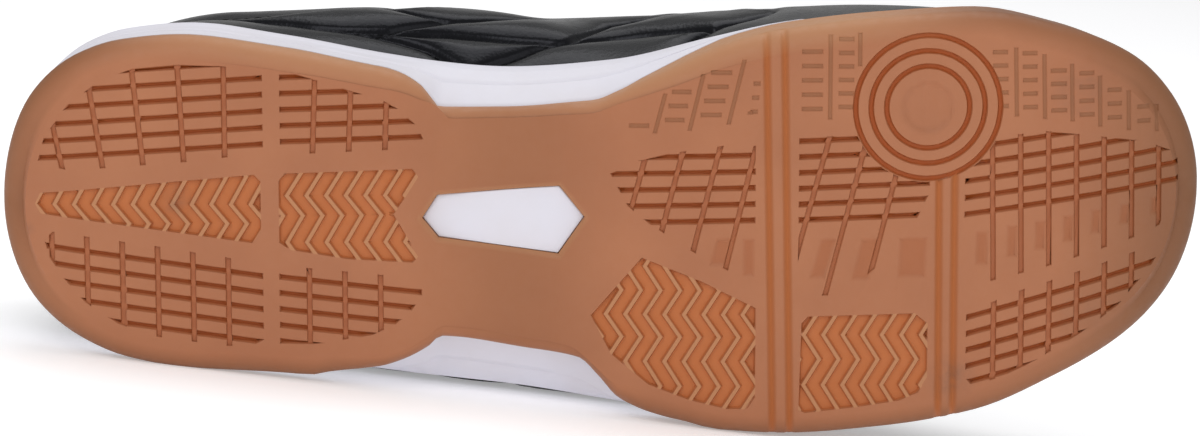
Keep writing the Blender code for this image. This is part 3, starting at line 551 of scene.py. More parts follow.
# Rings of the turning spot under the ball of the big toe, and the pairs of grooves where the sole flexes.
PIVOT_CENTRE = (227.6 * MM, -24.9 * MM)
PIVOT_RADII = [10.2 * MM, 14.0 * MM, 17.8 * MM]
PIVOT_GROOVE = 1.5 * MM
PIVOT_DEPTH = 0.8 * MM
PIVOT_CORNERS = 48
DISH_RADII = [7.2 * MM, 6.5 * MM, 5.7 * MM, 4.9 * MM]
DISH_DEPTH = 0.9 * MM
Flex = namedtuple("Flex", "x_start y_start x_end y_end")
FLEX_GROOVES = [
    Flex(187.9, -46.0, 190.1, 60.0),
    Flex(192.3, -46.0, 194.4, 60.0),
    Flex(230.5, -9.0, 231.1, 57.0),
    Flex(234.4, -9.0, 234.7, 57.0),
]
FLEX_WIDTH = 2.8 * MM
FLEX_DEPTH = 1.0 * MM
FLEX_STRIPS = 8
FLEX_SUNK = 0.5
# Painted shade in the flex grooves, strongest along their middle.
FLEX_SHADE = 0.65
# Shallow rectangles: x and y of the middle, length and width, and the lean of the long sides, in millimetres.
Recess = namedtuple("Recess", "x y length width lean")
RECESSES = [
    Recess(177.0, 11.4, 4.6, 7.6, -0.26),
    Recess(183.9, 12.7, 3.6, 10.2, 0.0),
    Recess(202.2, 13.0, 4.6, 10.8, -0.28),
    Recess(212.6, 13.2, 5.2, 11.2, -0.24),
    Recess(224.2, 12.7, 7.6, 10.8, -0.04),
    Recess(241.3, 10.5, 3.8, 9.2, 0.0),
    Recess(248.8, 8.9, 3.4, 8.8, 0.0),
    Recess(255.8, 7.6, 3.6, 8.2, 0.0),
    Recess(262.8, 6.1, 3.6, 7.6, 0.0),
    Recess(269.7, 4.6, 3.4, 7.0, 0.0),
    Recess(276.9, 3.1, 3.4, 5.9, 0.0),
    Recess(284.6, 1.4, 3.0, 5.2, 0.0),
]
# Faint columns of dashes with a thin line beside each: x of the column, its dashes' first y, pitch and count,
# the dash's length, the x, start and end of the line beside it, in millimetres, and the lean of both.
Faint = namedtuple("Faint", "x first pitch count length line_x line_from line_to lean")
FAINT_MARKS = [
    Faint(156.9, -20.2, -3.6, 1, 5.2, 162.0, -28.4, -18.2, -0.26),
    Faint(165.6, -21.7, -3.5, 3, 5.0, 170.9, -33.2, -18.9, -0.24),
    Faint(174.5, -23.0, -3.5, 4, 5.4, 180.7, -36.8, -20.5, -0.24),
    Faint(185.0, -23.8, -3.5, 3, 2.0, 184.0, -24.0, -23.0, -0.10),
    Faint(199.2, -24.5, -3.55, 5, 5.4, 203.6, -42.9, -21.7, 0.0),
    Faint(207.5, -25.0, -3.35, 6, 4.0, 210.8, -43.4, -35.0, 0.0),
    Faint(245.5, -25.0, -3.35, 5, 4.0, 249.2, -39.6, -22.2, 0.03),
    Faint(252.8, -24.6, -3.35, 5, 3.9, 256.2, -37.8, -21.4, 0.03),
    Faint(259.9, -23.6, -3.3, 4, 4.2, 263.1, -35.2, -20.6, 0.03),
    Faint(266.9, -22.3, -3.45, 4, 4.0, 270.1, -32.0, -19.0, 0.03),
    Faint(273.9, -21.3, -3.45, 3, 3.8, 277.4, -28.0, -17.8, 0.03),
    Faint(281.3, -20.1, -3.55, 2, 3.6, 284.6, -23.8, -17.1, 0.03),
]
FAINT_DASH_WIDTH = 1.35
FAINT_LINE_WIDTH = 1.3
# Points nearer to a cut than this count as lying on it.
CUT_SNAP = 0.02 * MM


def middle_of(face):
    """x and y of a face's middle."""
    return np.array(face.calc_center_median()[:2])


def slice_faces(faces, point, normal):
    """Cuts convex faces along an upright plane, and returns all the faces that they became."""
    away = {}
    for vert in verts_of(faces):
        distance = (vert.co.x - point[0]) * normal[0] + (vert.co.y - point[1]) * normal[1]
        away[vert] = distance if abs(distance) > CUT_SNAP else 0.0
    pieces = list(faces)
    for face in faces:
        reach = [away[vert] for vert in face.verts]
        if min(reach) >= 0 or max(reach) <= 0:
            continue
        for edge in list(face.edges):
            first, second = edge.verts
            if away[first] * away[second] < 0:
                _, made = bmesh.utils.edge_split(edge, first, away[first] / (away[first] - away[second]))
                away[made] = 0.0
        on_plane = [vert for vert in face.verts if away[vert] == 0]
        ends = max(itertools.combinations(on_plane, 2), key=lambda pair: (pair[0].co - pair[1].co).length)
        pieces.append(bmesh.utils.face_split(face, *ends)[0])
    return pieces


def inward_of(corners):
    """Unit directions into a convex outline, square to each of its edges."""
    along = np.roll(corners, -1, 0) - corners
    inward = unit(np.stack([-along[:, 1], along[:, 0]], 1))
    return inward * np.sign(((corners.mean(0) - corners) * inward).sum(1))[:, None]


def carve(faces, corners, inset=0.0):
    """Cuts a convex outline, or one inset from it, into faces. Returns the faces inside and outside it."""
    corners = np.asarray(corners, float)
    (low_x, low_y), (high_x, high_y) = corners.min(0), corners.max(0)
    inside, outside = [], []
    for face in faces:
        xs = [vert.co.x for vert in face.verts]
        ys = [vert.co.y for vert in face.verts]
        near = max(xs) > low_x and min(xs) < high_x and max(ys) > low_y and min(ys) < high_y
        (inside if near else outside).append(face)
    for corner, inward in zip(corners, inward_of(corners)):
        start = corner + inward * inset
        pieces = slice_faces(inside, start, inward)
        inside = [face for face in pieces if inward @ (middle_of(face) - start) > 0]
        outside += [face for face in pieces if inward @ (middle_of(face) - start) <= 0]
    return inside, outside


def cut_grid(faces, zone):
    """Cuts a grid zone, and returns its grooves along and across, its blocks and the faces outside it."""
    inside, outside = carve(faces, np.array(zone.outline) * MM)
    lines = []
    first, pitch, count = zone.along
    for n in range(count):
        normal = np.array([-zone.slope, 1]) / math.hypot(zone.slope, 1)
        lines.append((np.array([zone.along_at, first + n * pitch]) * MM, normal, GROOVE_ALONG_WIDTH))
    first, pitch, count = zone.across
    for n in range(count):
        lean = zone.lean[0] + (zone.lean[1] - zone.lean[0]) * n / (count - 1)
        normal = np.array([1, -lean]) / math.hypot(1, lean)
        lines.append((np.array([first + n * pitch, zone.across_at]) * MM, normal, GROOVE_ACROSS_WIDTH))
    for point, normal, width in lines:
        for edge in (-width / 2, width / 2):
            inside = slice_faces(inside, point + normal * edge, normal)
    along, across, blocks = [], [], []
    for face in inside:
        middle = middle_of(face)
        reach = [abs(normal @ (middle - point)) / width for point, normal, width in lines]
        cuts = [n for n, share in enumerate(reach) if share < 0.5]
        if not cuts:
            blocks.append(face)
        elif max(cuts) < zone.along[2]:
            along.append(face)
        else:
            across.append(face)
    return along, across, blocks, outside


def sink_herringbone(faces, zone):
    """Sinks a panel between its zigzag ribs, and returns the faces outside it."""
    inside, outside = [], faces
    edges = []
    for corners in zone.outlines:
        corners = np.array(corners) * MM
        panel, outside = carve(outside, corners)
        core, skirt = carve(panel, corners, POCKET_DRAFT)
        inside += core + skirt
        edges.append((corners, inward_of(corners)))
    step = zone.levels[1] - zone.levels[0]
    before, after = zone.levels[0] - np.array([2, 1]) * step, zone.levels[-1] + np.array([1, 2]) * step
    levels = np.concatenate([before, zone.levels, after]) * MM
    for level in levels:
        inside = slice_faces(inside, (0, level), (0, 1))
    width = np.ptp([x for corners in zone.outlines for x, _ in corners]) * MM
    reach = math.ceil(width / RIB_PITCH) + 1
    cut, runs = [], []
    for n, (low, high) in enumerate(zip(levels, levels[1:])):
        band = [face for face in inside if low < middle_of(face)[1] < high]
        back = n % 2 == 0
        along = np.array([-RIB_SWING if back else RIB_SWING, high - low])
        normal = np.array([along[1], -along[0]]) / np.linalg.norm(along)
        first = np.array([zone.start * MM + (RIB_SWING if back else 0), low])
        starts = first + np.array([[k * RIB_PITCH, 0] for k in range(-reach, reach + 1)])
        for point in starts:
            for edge in (RIB_WIDTH / 2, RIB_WIDTH / 2 + POCKET_DRAFT):
                band = slice_faces(band, point - normal * edge, normal)
                band = slice_faces(band, point + normal * edge, normal)
        cut += band
        runs.append((low, high, starts, normal))
    for vert in verts_of(cut):
        place = np.array(vert.co[:2])
        from_rib = min(
            np.abs((place - starts) @ normal).min()
            for low, high, starts, normal in runs
            if low - CUT_SNAP <= place[1] <= high + CUT_SNAP
        )
        from_edge = 0
        for corners, inward in edges:
            away = ((place - corners) * inward).sum(1)
            if away.min() > -CUT_SNAP:
                from_edge = max(from_edge, away[1:].min() if len(edges) > 1 else away.min())
        share = share_of(min(from_rib - RIB_WIDTH / 2, from_edge) / POCKET_DRAFT)
        vert.co.z += share * POCKET_DEPTH
        vert[sunk] = POCKET_SUNK * share
        vert[on_rib] = float(from_rib < RIB_WIDTH / 2 + CUT_SNAP)
    for face in cut:
        if all(vert[on_rib] for vert in face.verts):
            for corner in face.loops:
                corner[ridge] = 1
    return outside


def circle(corners):
    """Corners of a circle of radius 1."""
    turns = np.arange(corners) * 2 * math.pi / corners
    return np.stack([np.cos(turns), np.sin(turns)], 1)


def sink_pivot(faces):
    """Sinks the rings of the turning spot and the dish inside them, and returns the faces outside it."""
    round_corners = circle(PIVOT_CORNERS)
    half = PIVOT_GROOVE / 2
    radii = [radius + share * half for radius in PIVOT_RADII[::-1] for share in (1, 0.5, -0.5, -1)]
    land, outside = carve(faces, PIVOT_CENTRE + round_corners * radii[0])
    inside = []
    for radius in radii[1:] + DISH_RADII:
        land, skirt = carve(land, PIVOT_CENTRE + round_corners * radius)
        inside += skirt
    for vert in verts_of(inside + land):
        from_centre = math.hypot(vert.co.x - PIVOT_CENTRE[0], vert.co.y - PIVOT_CENTRE[1])
        from_ring = min(abs(from_centre - radius) for radius in PIVOT_RADII)
        vert[deep] = eased(2 * (1 - from_ring / half))
        in_dish = eased((DISH_RADII[0] - from_centre) / (DISH_RADII[0] - DISH_RADII[-1]))
        vert.co.z += PIVOT_DEPTH * vert[deep] + DISH_DEPTH * in_dish
    return outside


def box_corners(x, y, length, width, lean):
    """Corners of a box on the tread, in millimetres, whose ends lean towards the toe."""
    slant = np.array([lean, 1]) * width / 2
    half = np.array([length / 2, 0])
    return np.array([x, y]) + [-slant - half, -slant + half, slant + half, slant - half]


def sink_softly(faces, corners, depth, draft, levels):
    """Sinks a shallow place with soft sides, notes levels on its vertices, and returns the faces outside."""
    corners = corners * MM
    inward = inward_of(corners)
    core, outside = carve(faces, corners)
    inside = []
    for step in range(1, SOFT_STEPS + 1):
        core, skirt = carve(core, corners, draft * step / SOFT_STEPS)
        inside += skirt
    for vert in verts_of(inside + core):
        from_edge = ((np.array(vert.co[:2]) - corners) * inward).sum(1).min()
        share = eased(from_edge / draft)
        vert.co.z += depth * share
        for layer, level in levels.items():
            vert[layer] = max(vert[layer], level * share)
    return outside


# Walls of a groove, from its edge to its bottom, as shares of its draft and of its depth. All the grooves
# of a grid go down by a share of the tread's depth, and those that run heel to toe by the rest of it.
GROOVE_WALL = [(0.35, 0.12), (0.65, 0.88)]
GROOVE_FIRST = 0.55 * TREAD_DEPTH
FIRST_DRAFT, SECOND_DRAFT = 0.4 * MM, 0.2 * MM
FIRST_DEEP, SECOND_DEEP = 0.4, 0.9


def inset_faces(bm, faces, width):
    """Draws a strip of faces along the inside of a region's edge."""
    bmesh.ops.inset_region(bm, faces=faces, thickness=width, use_even_offset=False, use_boundary=True)


def sink(bm, faces, depth, draft, layer, level):
    """Sinks a region of the tread between sloping walls, and notes a level on the vertices of its bottom."""
    for inset, drop in GROOVE_WALL:
        inset_faces(bm, faces, inset * draft)
        for vert in verts_of(faces):
            vert.co.z += drop * depth
    for vert in verts_of(faces):
        vert[layer] = level


# The tread under the arch never touches the ground, and takes some of the dark colour that paints shade on
# the rim.
WAIST_TONE = 0.42
WAIST_MIDDLE, WAIST_REACH = 125 * MM, 24 * MM
# Painted light on the edge along the inner side, which faces up, between two places along the shoe and out
# from its middle line.
LIT_EDGE_FROM, LIT_EDGE_TO, LIT_EDGE_FADE = 15 * MM, 250 * MM, 45 * MM
LIT_EDGE_ACROSS = 20 * MM
WINDOW_PALE = 0.6
TREAD_INSET = 1.5 * MM
# The side of the rubber: turns of its rounded edge in degrees, how many loops of it the tread is cut into,
# shares of the wall's height, and how much the edge shrinks along the bridge and under a low side.
EDGE_TURNS = [9, 20, 35, 50, 65, 78, 90]
ROUND_LOOPS = 7
WALL_SHARES = (0.25, 0.5, 0.75, 0.94)
BRIDGE_SHRINK = 0.4
EDGE_SHARE = 0.6
EDGE_TAPER = 0.42 * BALL_WIDTH
LIP_SHARE = 0.3
LIP_DROP = 0.1 * MM


def waist_tone(x):
    """How much of the rim's tone the tread takes at a distance from the heel."""
    return WAIST_TONE * math.exp(-(((x - WAIST_MIDDLE) / WAIST_REACH) ** 2))


def painted_light_on_edge(x, y):
    """How much painted light a place of the edge takes."""
    lengthwise = eased((x - LIT_EDGE_FROM) / LIT_EDGE_FADE) * eased((LIT_EDGE_TO - x) / LIT_EDGE_FADE)
    return lengthwise * eased(-y / LIT_EDGE_ACROSS)


# What the gum's colours read: rim, painted shade on the rounded edge, in recesses, faint marks and flex
# grooves, and the waist's darker tone; sunk, a panel's floor; deep, a groove's floor; pale, painted light
# along the inner edge, which faces up, and a paler brim round the window; ridge, a standing rib. on_rib marks
# the points of the ribs.
outsole_bm = bmesh.new()
rim, sunk, deep, pale, on_rib = (
    outsole_bm.verts.layers.float.new(name) for name in ("rim", "sunk", "deep", "pale", "on_rib")
)
ridge = outsole_bm.loops.layers.float.new("ridge")
# Recesses take some of a groove floor's colour and some painted shade; faint marks take painted shade.
RECESS_TONE_AND_SHADE = {deep: 0.26, rim: 0.2}
FAINT_SHADE = {rim: 0.55}
edge_width = (1 - BRIDGE_SHRINK * BRIDGE_SHARE) * EDGE_ROUND
edge_height = np.minimum(EDGE_HEIGHT, EDGE_SHARE * (GUM - GROUND))
tread_edge = np.column_stack([OUTLINE[:, 0], OUTLINE[:, 1] - SIDES * NOTCH, GROUND])
tread_edge[:, 0] += EDGE_ROUND * (1 - 2 * tread_edge[:, 0] / SOLE_LENGTH)
tread_edge[:, 1] *= 1 - edge_width / EDGE_TAPER
tread_edge[:, 2] = ground_height(tread_edge[:, 0])
side_loops = [tread_edge]
for turn in np.radians(EDGE_TURNS):
    inset = NOTCH + edge_width * (1 - math.sin(turn))
    side_loops.append(ring(-inset, GROUND + edge_height * (1 - math.cos(turn))))
for up in WALL_SHARES:
    wall_height = GROUND + edge_height + (GUM - GROUND - edge_height) * up
    side_loops.append(ring(-NOTCH + outer_offset(wall_height), wall_height))
side_loops.append(ring(-NOTCH + outer_offset(GUM) - LIP_SHARE * GUM_THICKNESS, GUM))
side_loops.append(ring(gum_inner_offset(GUM), GUM - LIP_DROP))
plate_loop = plate_ring(0, OUTSOLE_PLATE)
side_loops.append(plate_loop)
TREAD, PLATE, ROUNDING = 1, 2, 3
side_verts = mapped_grid(outsole_bm, closed_rows(side_loops[:ROUND_LOOPS]), ROUNDING)
side_verts += mapped_grid(outsole_bm, closed_rows(side_loops[ROUND_LOOPS - 1:]), 0)
# The rounded edge and side take painted shade that grows with height, and painted light in its place along
# the inner side, which faces up; under the arch they keep the waist's darker tone.
for vert in side_verts:
    height = vert.co.z - float(ground_height(vert.co.x))
    edge_paint_share = math.sqrt(share_of(height / EDGE_HEIGHT)) * (1 - waist_tone(vert.co.x))
    painted_light_share = painted_light_on_edge(vert.co.x, vert.co.y)
    vert[pale] = edge_paint_share * painted_light_share
    vert[rim] = max(edge_paint_share * (1 - painted_light_share), waist_tone(vert.co.x))
for vert in mapped_grid(outsole_bm, strips(tread_edge), TREAD):
    vert[rim] = waist_tone(vert.co.x)
mapped_grid(outsole_bm, strips(plate_loop), PLATE)
sew(outsole_bm)

flat = [face for face in outsole_bm.faces if face.material_index == TREAD]
inset_faces(outsole_bm, flat, TREAD_INSET)
tread = [face for face in outsole_bm.faces if face.material_index in (TREAD, ROUNDING)]
window = np.array(WINDOW_CORNERS) * MM
open_below, tread = carve(tread, window, -WINDOW_ROUND)
brim = []
for share in WINDOW_STEPS:
    open_below, skirt = carve(open_below, window, -share * WINDOW_ROUND)
    brim += skirt
for vert in verts_of(brim):
    from_window = -((np.array(vert.co[:2]) - window) * inward_of(window)).sum(1).min()
    share = 1 - share_of(from_window / WINDOW_ROUND)
    vert.co.z += WINDOW_DROP * share * share
    vert[pale] = WINDOW_PALE * share
open_above, _ = carve([face for face in outsole_bm.faces if face.material_index == PLATE], window)
bmesh.ops.delete(outsole_bm, geom=open_below + open_above, context="FACES")
bmesh.ops.bridge_loops(outsole_bm, edges=open_edges(outsole_bm))

tread = sink_pivot(tread)
for groove in FLEX_GROOVES:
    start = np.array([groove.x_start, groove.y_start]) * MM
    end = np.array([groove.x_end, groove.y_end]) * MM
    half = np.array([FLEX_WIDTH / 2, 0])
    faces, tread = carve(tread, [start - half, start + half, end + half, end - half])
    across = np.array([end[1] - start[1], start[0] - end[0]]) / np.linalg.norm(end - start)
    for n in range(1, FLEX_STRIPS):
        faces = slice_faces(faces, start + half * (2 * n / FLEX_STRIPS - 1), across)
    for vert in verts_of(faces):
        from_middle = across @ (np.array(vert.co[:2]) - start) / (FLEX_WIDTH / 2)
        share = 0.5 + 0.5 * math.cos(math.pi * min(max(from_middle, -1), 1))
        vert.co.z += share * FLEX_DEPTH
        vert[sunk] = FLEX_SUNK * share
        # Painted shade, strongest along the groove's middle.
        vert[rim] = max(vert[rim], FLEX_SHADE * share)
grooves_along, grooves_across = [], []
for zone in GRIDS:
    along, across, blocks, tread = cut_grid(tread, zone)
    grooves_along += along
    grooves_across += across
    tread += blocks
for zone in HERRINGBONES:
    tread = sink_herringbone(tread, zone)
for mark in RECESSES:
    corners = box_corners(mark.x, mark.y, mark.length, mark.width, mark.lean)
    tread = sink_softly(tread, corners, RECESS_DEPTH, RECESS_DRAFT, RECESS_TONE_AND_SHADE)
for mark in FAINT_MARKS:
    line_middle, line_length = (mark.line_from + mark.line_to) / 2, mark.line_to - mark.line_from
    boxes = [box_corners(mark.line_x, line_middle, FAINT_LINE_WIDTH, line_length, mark.lean)]
    for n in range(mark.count):
        along = mark.x + mark.lean * n * mark.pitch
        boxes.append(box_corners(along, mark.first + n * mark.pitch, mark.length, FAINT_DASH_WIDTH, 0))
    for corners in boxes:
        tread = sink_softly(tread, corners, FAINT_DEPTH, FAINT_DRAFT, FAINT_SHADE)
sink(outsole_bm, grooves_along + grooves_across, GROOVE_FIRST, FIRST_DRAFT, deep, FIRST_DEEP)
sink(outsole_bm, grooves_along, TREAD_DEPTH - GROOVE_FIRST, SECOND_DRAFT, deep, SECOND_DEEP)
for face in outsole_bm.faces:
    face.material_index = 0
soften(outsole_bm, 28)

GUM_PLAIN = (0.365, 0.137, 0.062, 1)
GUM_PALE = (0.400, 0.154, 0.070, 1)
GUM_FLOOR = (0.560, 0.150, 0.022, 1)
GUM_GROOVE = (0.340, 0.068, 0.006, 1)
GUM_RIB = (0.435, 0.192, 0.086, 1)
# The dark colour of painted shade on the rubber's edge, in recesses and grooves, and of the waist's darker
# tone.
GUM_SHADE_AND_WAIST = (0.205, 0.080, 0.029, 1)
# The light colour of painted light on the inner edge, which faces up, and of the paler brim round the window.
GUM_LIT_EDGE_AND_BRIM = (0.450, 0.222, 0.104, 1)
GUM_TOE = (0.175, 0.072, 0.029, 1)
# The toe darkens between two places along the lying shoe.
TOE_FROM, TOE_TO, TOE_TONE = 112 * MM, 149 * MM, 0.9
GUM_SOIL = (0.10, 0.075, 0.06, 1)
# Soiled places of the tread: x, y and radius in millimetres, and strength. The soil is even over SOIL_CORE of
# the radius, and fades from there.
SOIL_CORE = 0.2
Soil = namedtuple("Soil", "x y radius strength")
SOILED = [
    Soil(164.2, -35.8, 1.3, 0.8),
    Soil(234.0, 43.5, 7.0, 0.45),
    Soil(265.5, -29.0, 9.0, 0.30),
    Soil(284.0, -4.0, 8.0, 0.35),
    Soil(268.0, 28.0, 9.0, 0.28),
    Soil(43.5, -1.0, 5.5, 0.35),
    Soil(6.5, 6.0, 2.6, 0.5),
]


def effect_group(name, inputs, outputs):
    """A node group: its tree, and the sockets at its two ends. Inputs are given with their plain values."""
    tree = bpy.data.node_groups.new(name, "ShaderNodeTree")
    for socket, value in inputs.items():
        kind = "NodeSocketColor" if isinstance(value, tuple) else "NodeSocketFloat"
        tree.interface.new_socket(socket, in_out="INPUT", socket_type=kind).default_value = value
    for socket, kind in outputs.items():
        tree.interface.new_socket(socket, in_out="OUTPUT", socket_type=kind)
    return tree, tree.nodes.new("NodeGroupInput").outputs, tree.nodes.new("NodeGroupOutput").inputs


# Shared effects: soft patches between two colours, and the fine grain of a moulded or coated face.
GRAIN_HEIGHT = 0.3 * MM
PATCHY, patchy_in, patchy_out = effect_group(
    "patchy_tone",
    {"Scale": 40.0, "Plain": (0.5, 0.5, 0.5, 1), "Worn": (0.6, 0.6, 0.6, 1)},
    {"Colour": "NodeSocketColor"},
)
patchy_share = ranged(PATCHY, noise(PATCHY, patchy_in["Scale"], 3.0), 0.35, 0.7)
patchy_colour = mix_colours(PATCHY, patchy_share, patchy_in["Plain"], patchy_in["Worn"])
PATCHY.links.new(patchy_colour, patchy_out["Colour"])
GRAIN, grain_in, grain_out = effect_group(
    "fine_grain",
    {"Scale": 400.0, "Smooth": 0.4, "Rough": 0.6},
    {"Roughness": "NodeSocketFloat", "Height": "NodeSocketFloat"},
)
grain_noise = noise(GRAIN, grain_in["Scale"], 4.0, 0.65)
grain_roughness = ranged(GRAIN, grain_noise, 0.3, 0.7, grain_in["Smooth"], grain_in["Rough"])
GRAIN.links.new(grain_roughness, grain_out["Roughness"])
GRAIN.links.new(grain_noise, grain_out["Height"])


def patchy(tree, scale, plain, worn):
    """Colour with soft patches."""
    node = add_node(tree, "ShaderNodeGroup", node_tree=PATCHY, Scale=scale, Plain=plain, Worn=worn)
    return node.outputs["Colour"]


def grain(tree, shader, scale, low, high, strength=0.0):
    """Fine grain on a shader's roughness and, if it has a strength, on its normal."""
    node = add_node(tree, "ShaderNodeGroup", node_tree=GRAIN, Scale=scale, Smooth=low, Rough=high)
    tree.links.new(node.outputs["Roughness"], shader.inputs["Roughness"])
    if strength:
        bump(tree, shader, node.outputs["Height"], strength, GRAIN_HEIGHT)


def reckoned(tree, operation, *values):
    """A number worked out from sockets and plain numbers."""
    node = add_node(tree, "ShaderNodeMath", operation=operation)
    for socket, value in zip(node.inputs, values):
        feed(tree, socket, value)
    return node.outputs["Value"]


def attribute(tree, name):
    """A number kept on the mesh."""
    return add_node(tree, "ShaderNodeAttribute", attribute_name=name).outputs["Fac"]


gum_material, gum_tree, gum_shader = new_material("gum_rubber")
gum_shader.inputs["Specular IOR Level"].default_value = 0.35
gum_colour = patchy(gum_tree, 38, GUM_PLAIN, GUM_PALE)
# Painted shade on the edge, recesses and grooves, and the waist's darker tone.
shade_and_waist_share = ranged(gum_tree, attribute(gum_tree, "rim"), 0.1, 1.0)
gum_colour = mix_colours(gum_tree, shade_and_waist_share, gum_colour, GUM_SHADE_AND_WAIST)
gum_place = add_node(gum_tree, "ShaderNodeTexCoord").outputs["Object"]
gum_axes = add_node(gum_tree, "ShaderNodeSeparateXYZ")
gum_tree.links.new(gum_place, gum_axes.inputs[0])
toe_share = ranged(gum_tree, gum_axes.outputs["X"], TOE_FROM, TOE_TO, 0.0, TOE_TONE)
gum_colour = mix_colours(gum_tree, toe_share, gum_colour, GUM_TOE)
for name, colour in (("sunk", GUM_FLOOR), ("deep", GUM_GROOVE), ("pale", GUM_LIT_EDGE_AND_BRIM), ("ridge", GUM_RIB)):
    gum_colour = mix_colours(gum_tree, attribute(gum_tree, name), gum_colour, colour)
soil_break = ranged(gum_tree, noise(gum_tree, 260, 4.0, 0.7), 0.3, 0.7)
for spot in SOILED:
    reach = add_node(gum_tree, "ShaderNodeVectorMath", operation="DISTANCE")
    gum_tree.links.new(gum_place, reach.inputs[0])
    reach.inputs[1].default_value = LAID_DOWN @ (Vector((spot.x, spot.y, 0)) * MM)
    edge = spot.radius * MM
    near = ranged(gum_tree, reach.outputs["Value"], SOIL_CORE * edge, edge, spot.strength, 0.0)
    gum_colour = mix_colours(gum_tree, reckoned(gum_tree, "MULTIPLY", near, soil_break), gum_colour, GUM_SOIL)
gum_tree.links.new(gum_colour, gum_shader.inputs["Base Color"])
grain(gum_tree, gum_shader, 420, 0.45, 0.65, 0.12)
finished_piece("outsole_gum", outsole_bm, [gum_material], ["outsole"])

# Midsole: one moulding of white foam that sits in the rubber cup and stands flush above it, with a step line
# along its side and a raised rim that the upper is cemented into. A pad of it fills the window of the bridge.
STEP_BELOW_BITE = 7.0 * MM
STEP_HEIGHT = 0.9 * MM
STEP_DEPTH = 0.7 * MM
RIM_THICKNESS = 3.7 * MM
RIM_ROUND = 0.6 * MM
# Middle of the pad in millimetres, and how much smaller it is than the window.
PAD_MIDDLE = np.array([123.5, 4.0])
PAD_SHRINK = np.array([0.995, 0.985])
PAD_GROUND_AT = 123 * MM
PAD_SUNK = 0.8 * MM
PAD_THICKNESS = 3.6 * MM
PAD_ROUND = 0.3 * MM
FOAM_LINE_DEPTH = 0.5 * MM
BULGE_SHARE = 0.12
BULGE_FROM = 6.0 * MM
HEEL_FLARE = 2.0 * MM
FLARE_END, FLARE_FADE, FLARE_START = 0.40, 0.12, 0.06
LEDGE_BELOW_BITE = 1.0 * MM
COVER_FADE, COVER_EARLY = 1.2 * MM, 1.2
SIDE_FOOT = 0.04
# The side's loops from the rubber up to the step: share of the way up, and depth of the moulded line.
FOAM_SIDE = [
    (0, 0), (0.08, 0), (0.25, 0), (0.42, 0), (0.51, 0), (0.54, 0.8), (0.56, 1), (0.58, 0.8), (0.61, 0),
    (0.72, 0), (0.84, 0), (0.94, 0), (1, 0),
]
# The loops of the step and of the side above it: share of the way up, and share of STEP_DEPTH.
FOAM_STEP = [(0.3, 0.5), (0.6, 1.0), (1.0, 1.0)]
FOAM_TOP = [(0.35, 0.45), (0.7, 0.15), (0.9, 0.2)]

foam_ledge = np.minimum(GUM + FIT_GAP, BITE - LEDGE_BELOW_BITE)
foam_step = np.maximum(BITE - STEP_BELOW_BITE, foam_ledge + 0.35 * (BITE - foam_ledge))
step_height = np.minimum(STEP_HEIGHT, 0.25 * (BITE - foam_ledge))
gum_covers = share_of((GUM - BITE) / COVER_FADE + COVER_EARLY)
# The inner side of the heel stands out a little past the rubber.
heel_flare = HEEL_FLARE * (SIDES <= 0) * share_of((FLARE_END - SHARES) / FLARE_FADE)
heel_flare = heel_flare * share_of(SHARES / FLARE_START)


def foam_side(height, inset=0):
    """Offset of the foam's outer face: flush with the rubber, or behind it where the rubber covers it."""
    shown = outer_offset(height) + heel_flare * share_of((height - GUM) / (BITE - GUM)) - inset
    hidden = gum_inner_offset(height) - 2 * FIT_GAP
    return shown + (np.minimum(shown, hidden) - shown) * gum_covers


def round_edges(bm, edges, radius):
    """Rounds edges over three faces each."""
    bmesh.ops.bevel(
        bm,
        geom=edges,
        offset=radius,
        offset_type="OFFSET",
        affect="EDGES",
        segments=3,
        profile=0.5,
        material=-1,
    )


midsole_bm = bmesh.new()
foam_foot = plate_ring(2 * FIT_GAP, OUTSOLE_PLATE + 1.5 * FIT_GAP)
foam_floor = ring(-LEAN - RIM_THICKNESS - RIM_DRAFT, FLOOR)
flush = np.minimum(outer_offset(foam_ledge) - NOTCH, foam_side(foam_ledge + FIT_GAP))
foam_loops = [foam_foot, ring(gum_inner_offset(foam_ledge) - 2 * FIT_GAP, foam_ledge)]
for up, line in FOAM_SIDE:
    height = foam_ledge + (foam_step - foam_ledge) * (SIDE_FOOT + (1 - SIDE_FOOT) * up)
    bulge = np.minimum(NOTCH, BULGE_FROM) * BULGE_SHARE * math.sin(math.pi * up) - FOAM_LINE_DEPTH * line
    foam_loops.append(ring(flush + (foam_side(foam_step) - flush) * up + bulge, height))
for up, inset in FOAM_STEP:
    height = foam_step + step_height * up
    foam_loops.append(ring(foam_side(height, STEP_DEPTH * inset), height))
for up, inset in FOAM_TOP:
    height = foam_step + step_height + (BITE - foam_step - step_height) * up
    foam_loops.append(ring(foam_side(height, STEP_DEPTH * inset), height))
foam_loops.append(ring(foam_side(BITE, STEP_DEPTH), BITE))
foam_loops.append(ring(-LEAN - RIM_THICKNESS + RIM_ROUND, BITE))
foam_loops.append(ring(-LEAN - RIM_THICKNESS, BITE - RIM_ROUND))
foam_loops.append(foam_floor)
mapped_grid(midsole_bm, closed_rows(foam_loops), 0)
mapped_grid(midsole_bm, strips(foam_foot), 0)
mapped_grid(midsole_bm, strips(foam_floor), 0)
sew(midsole_bm)

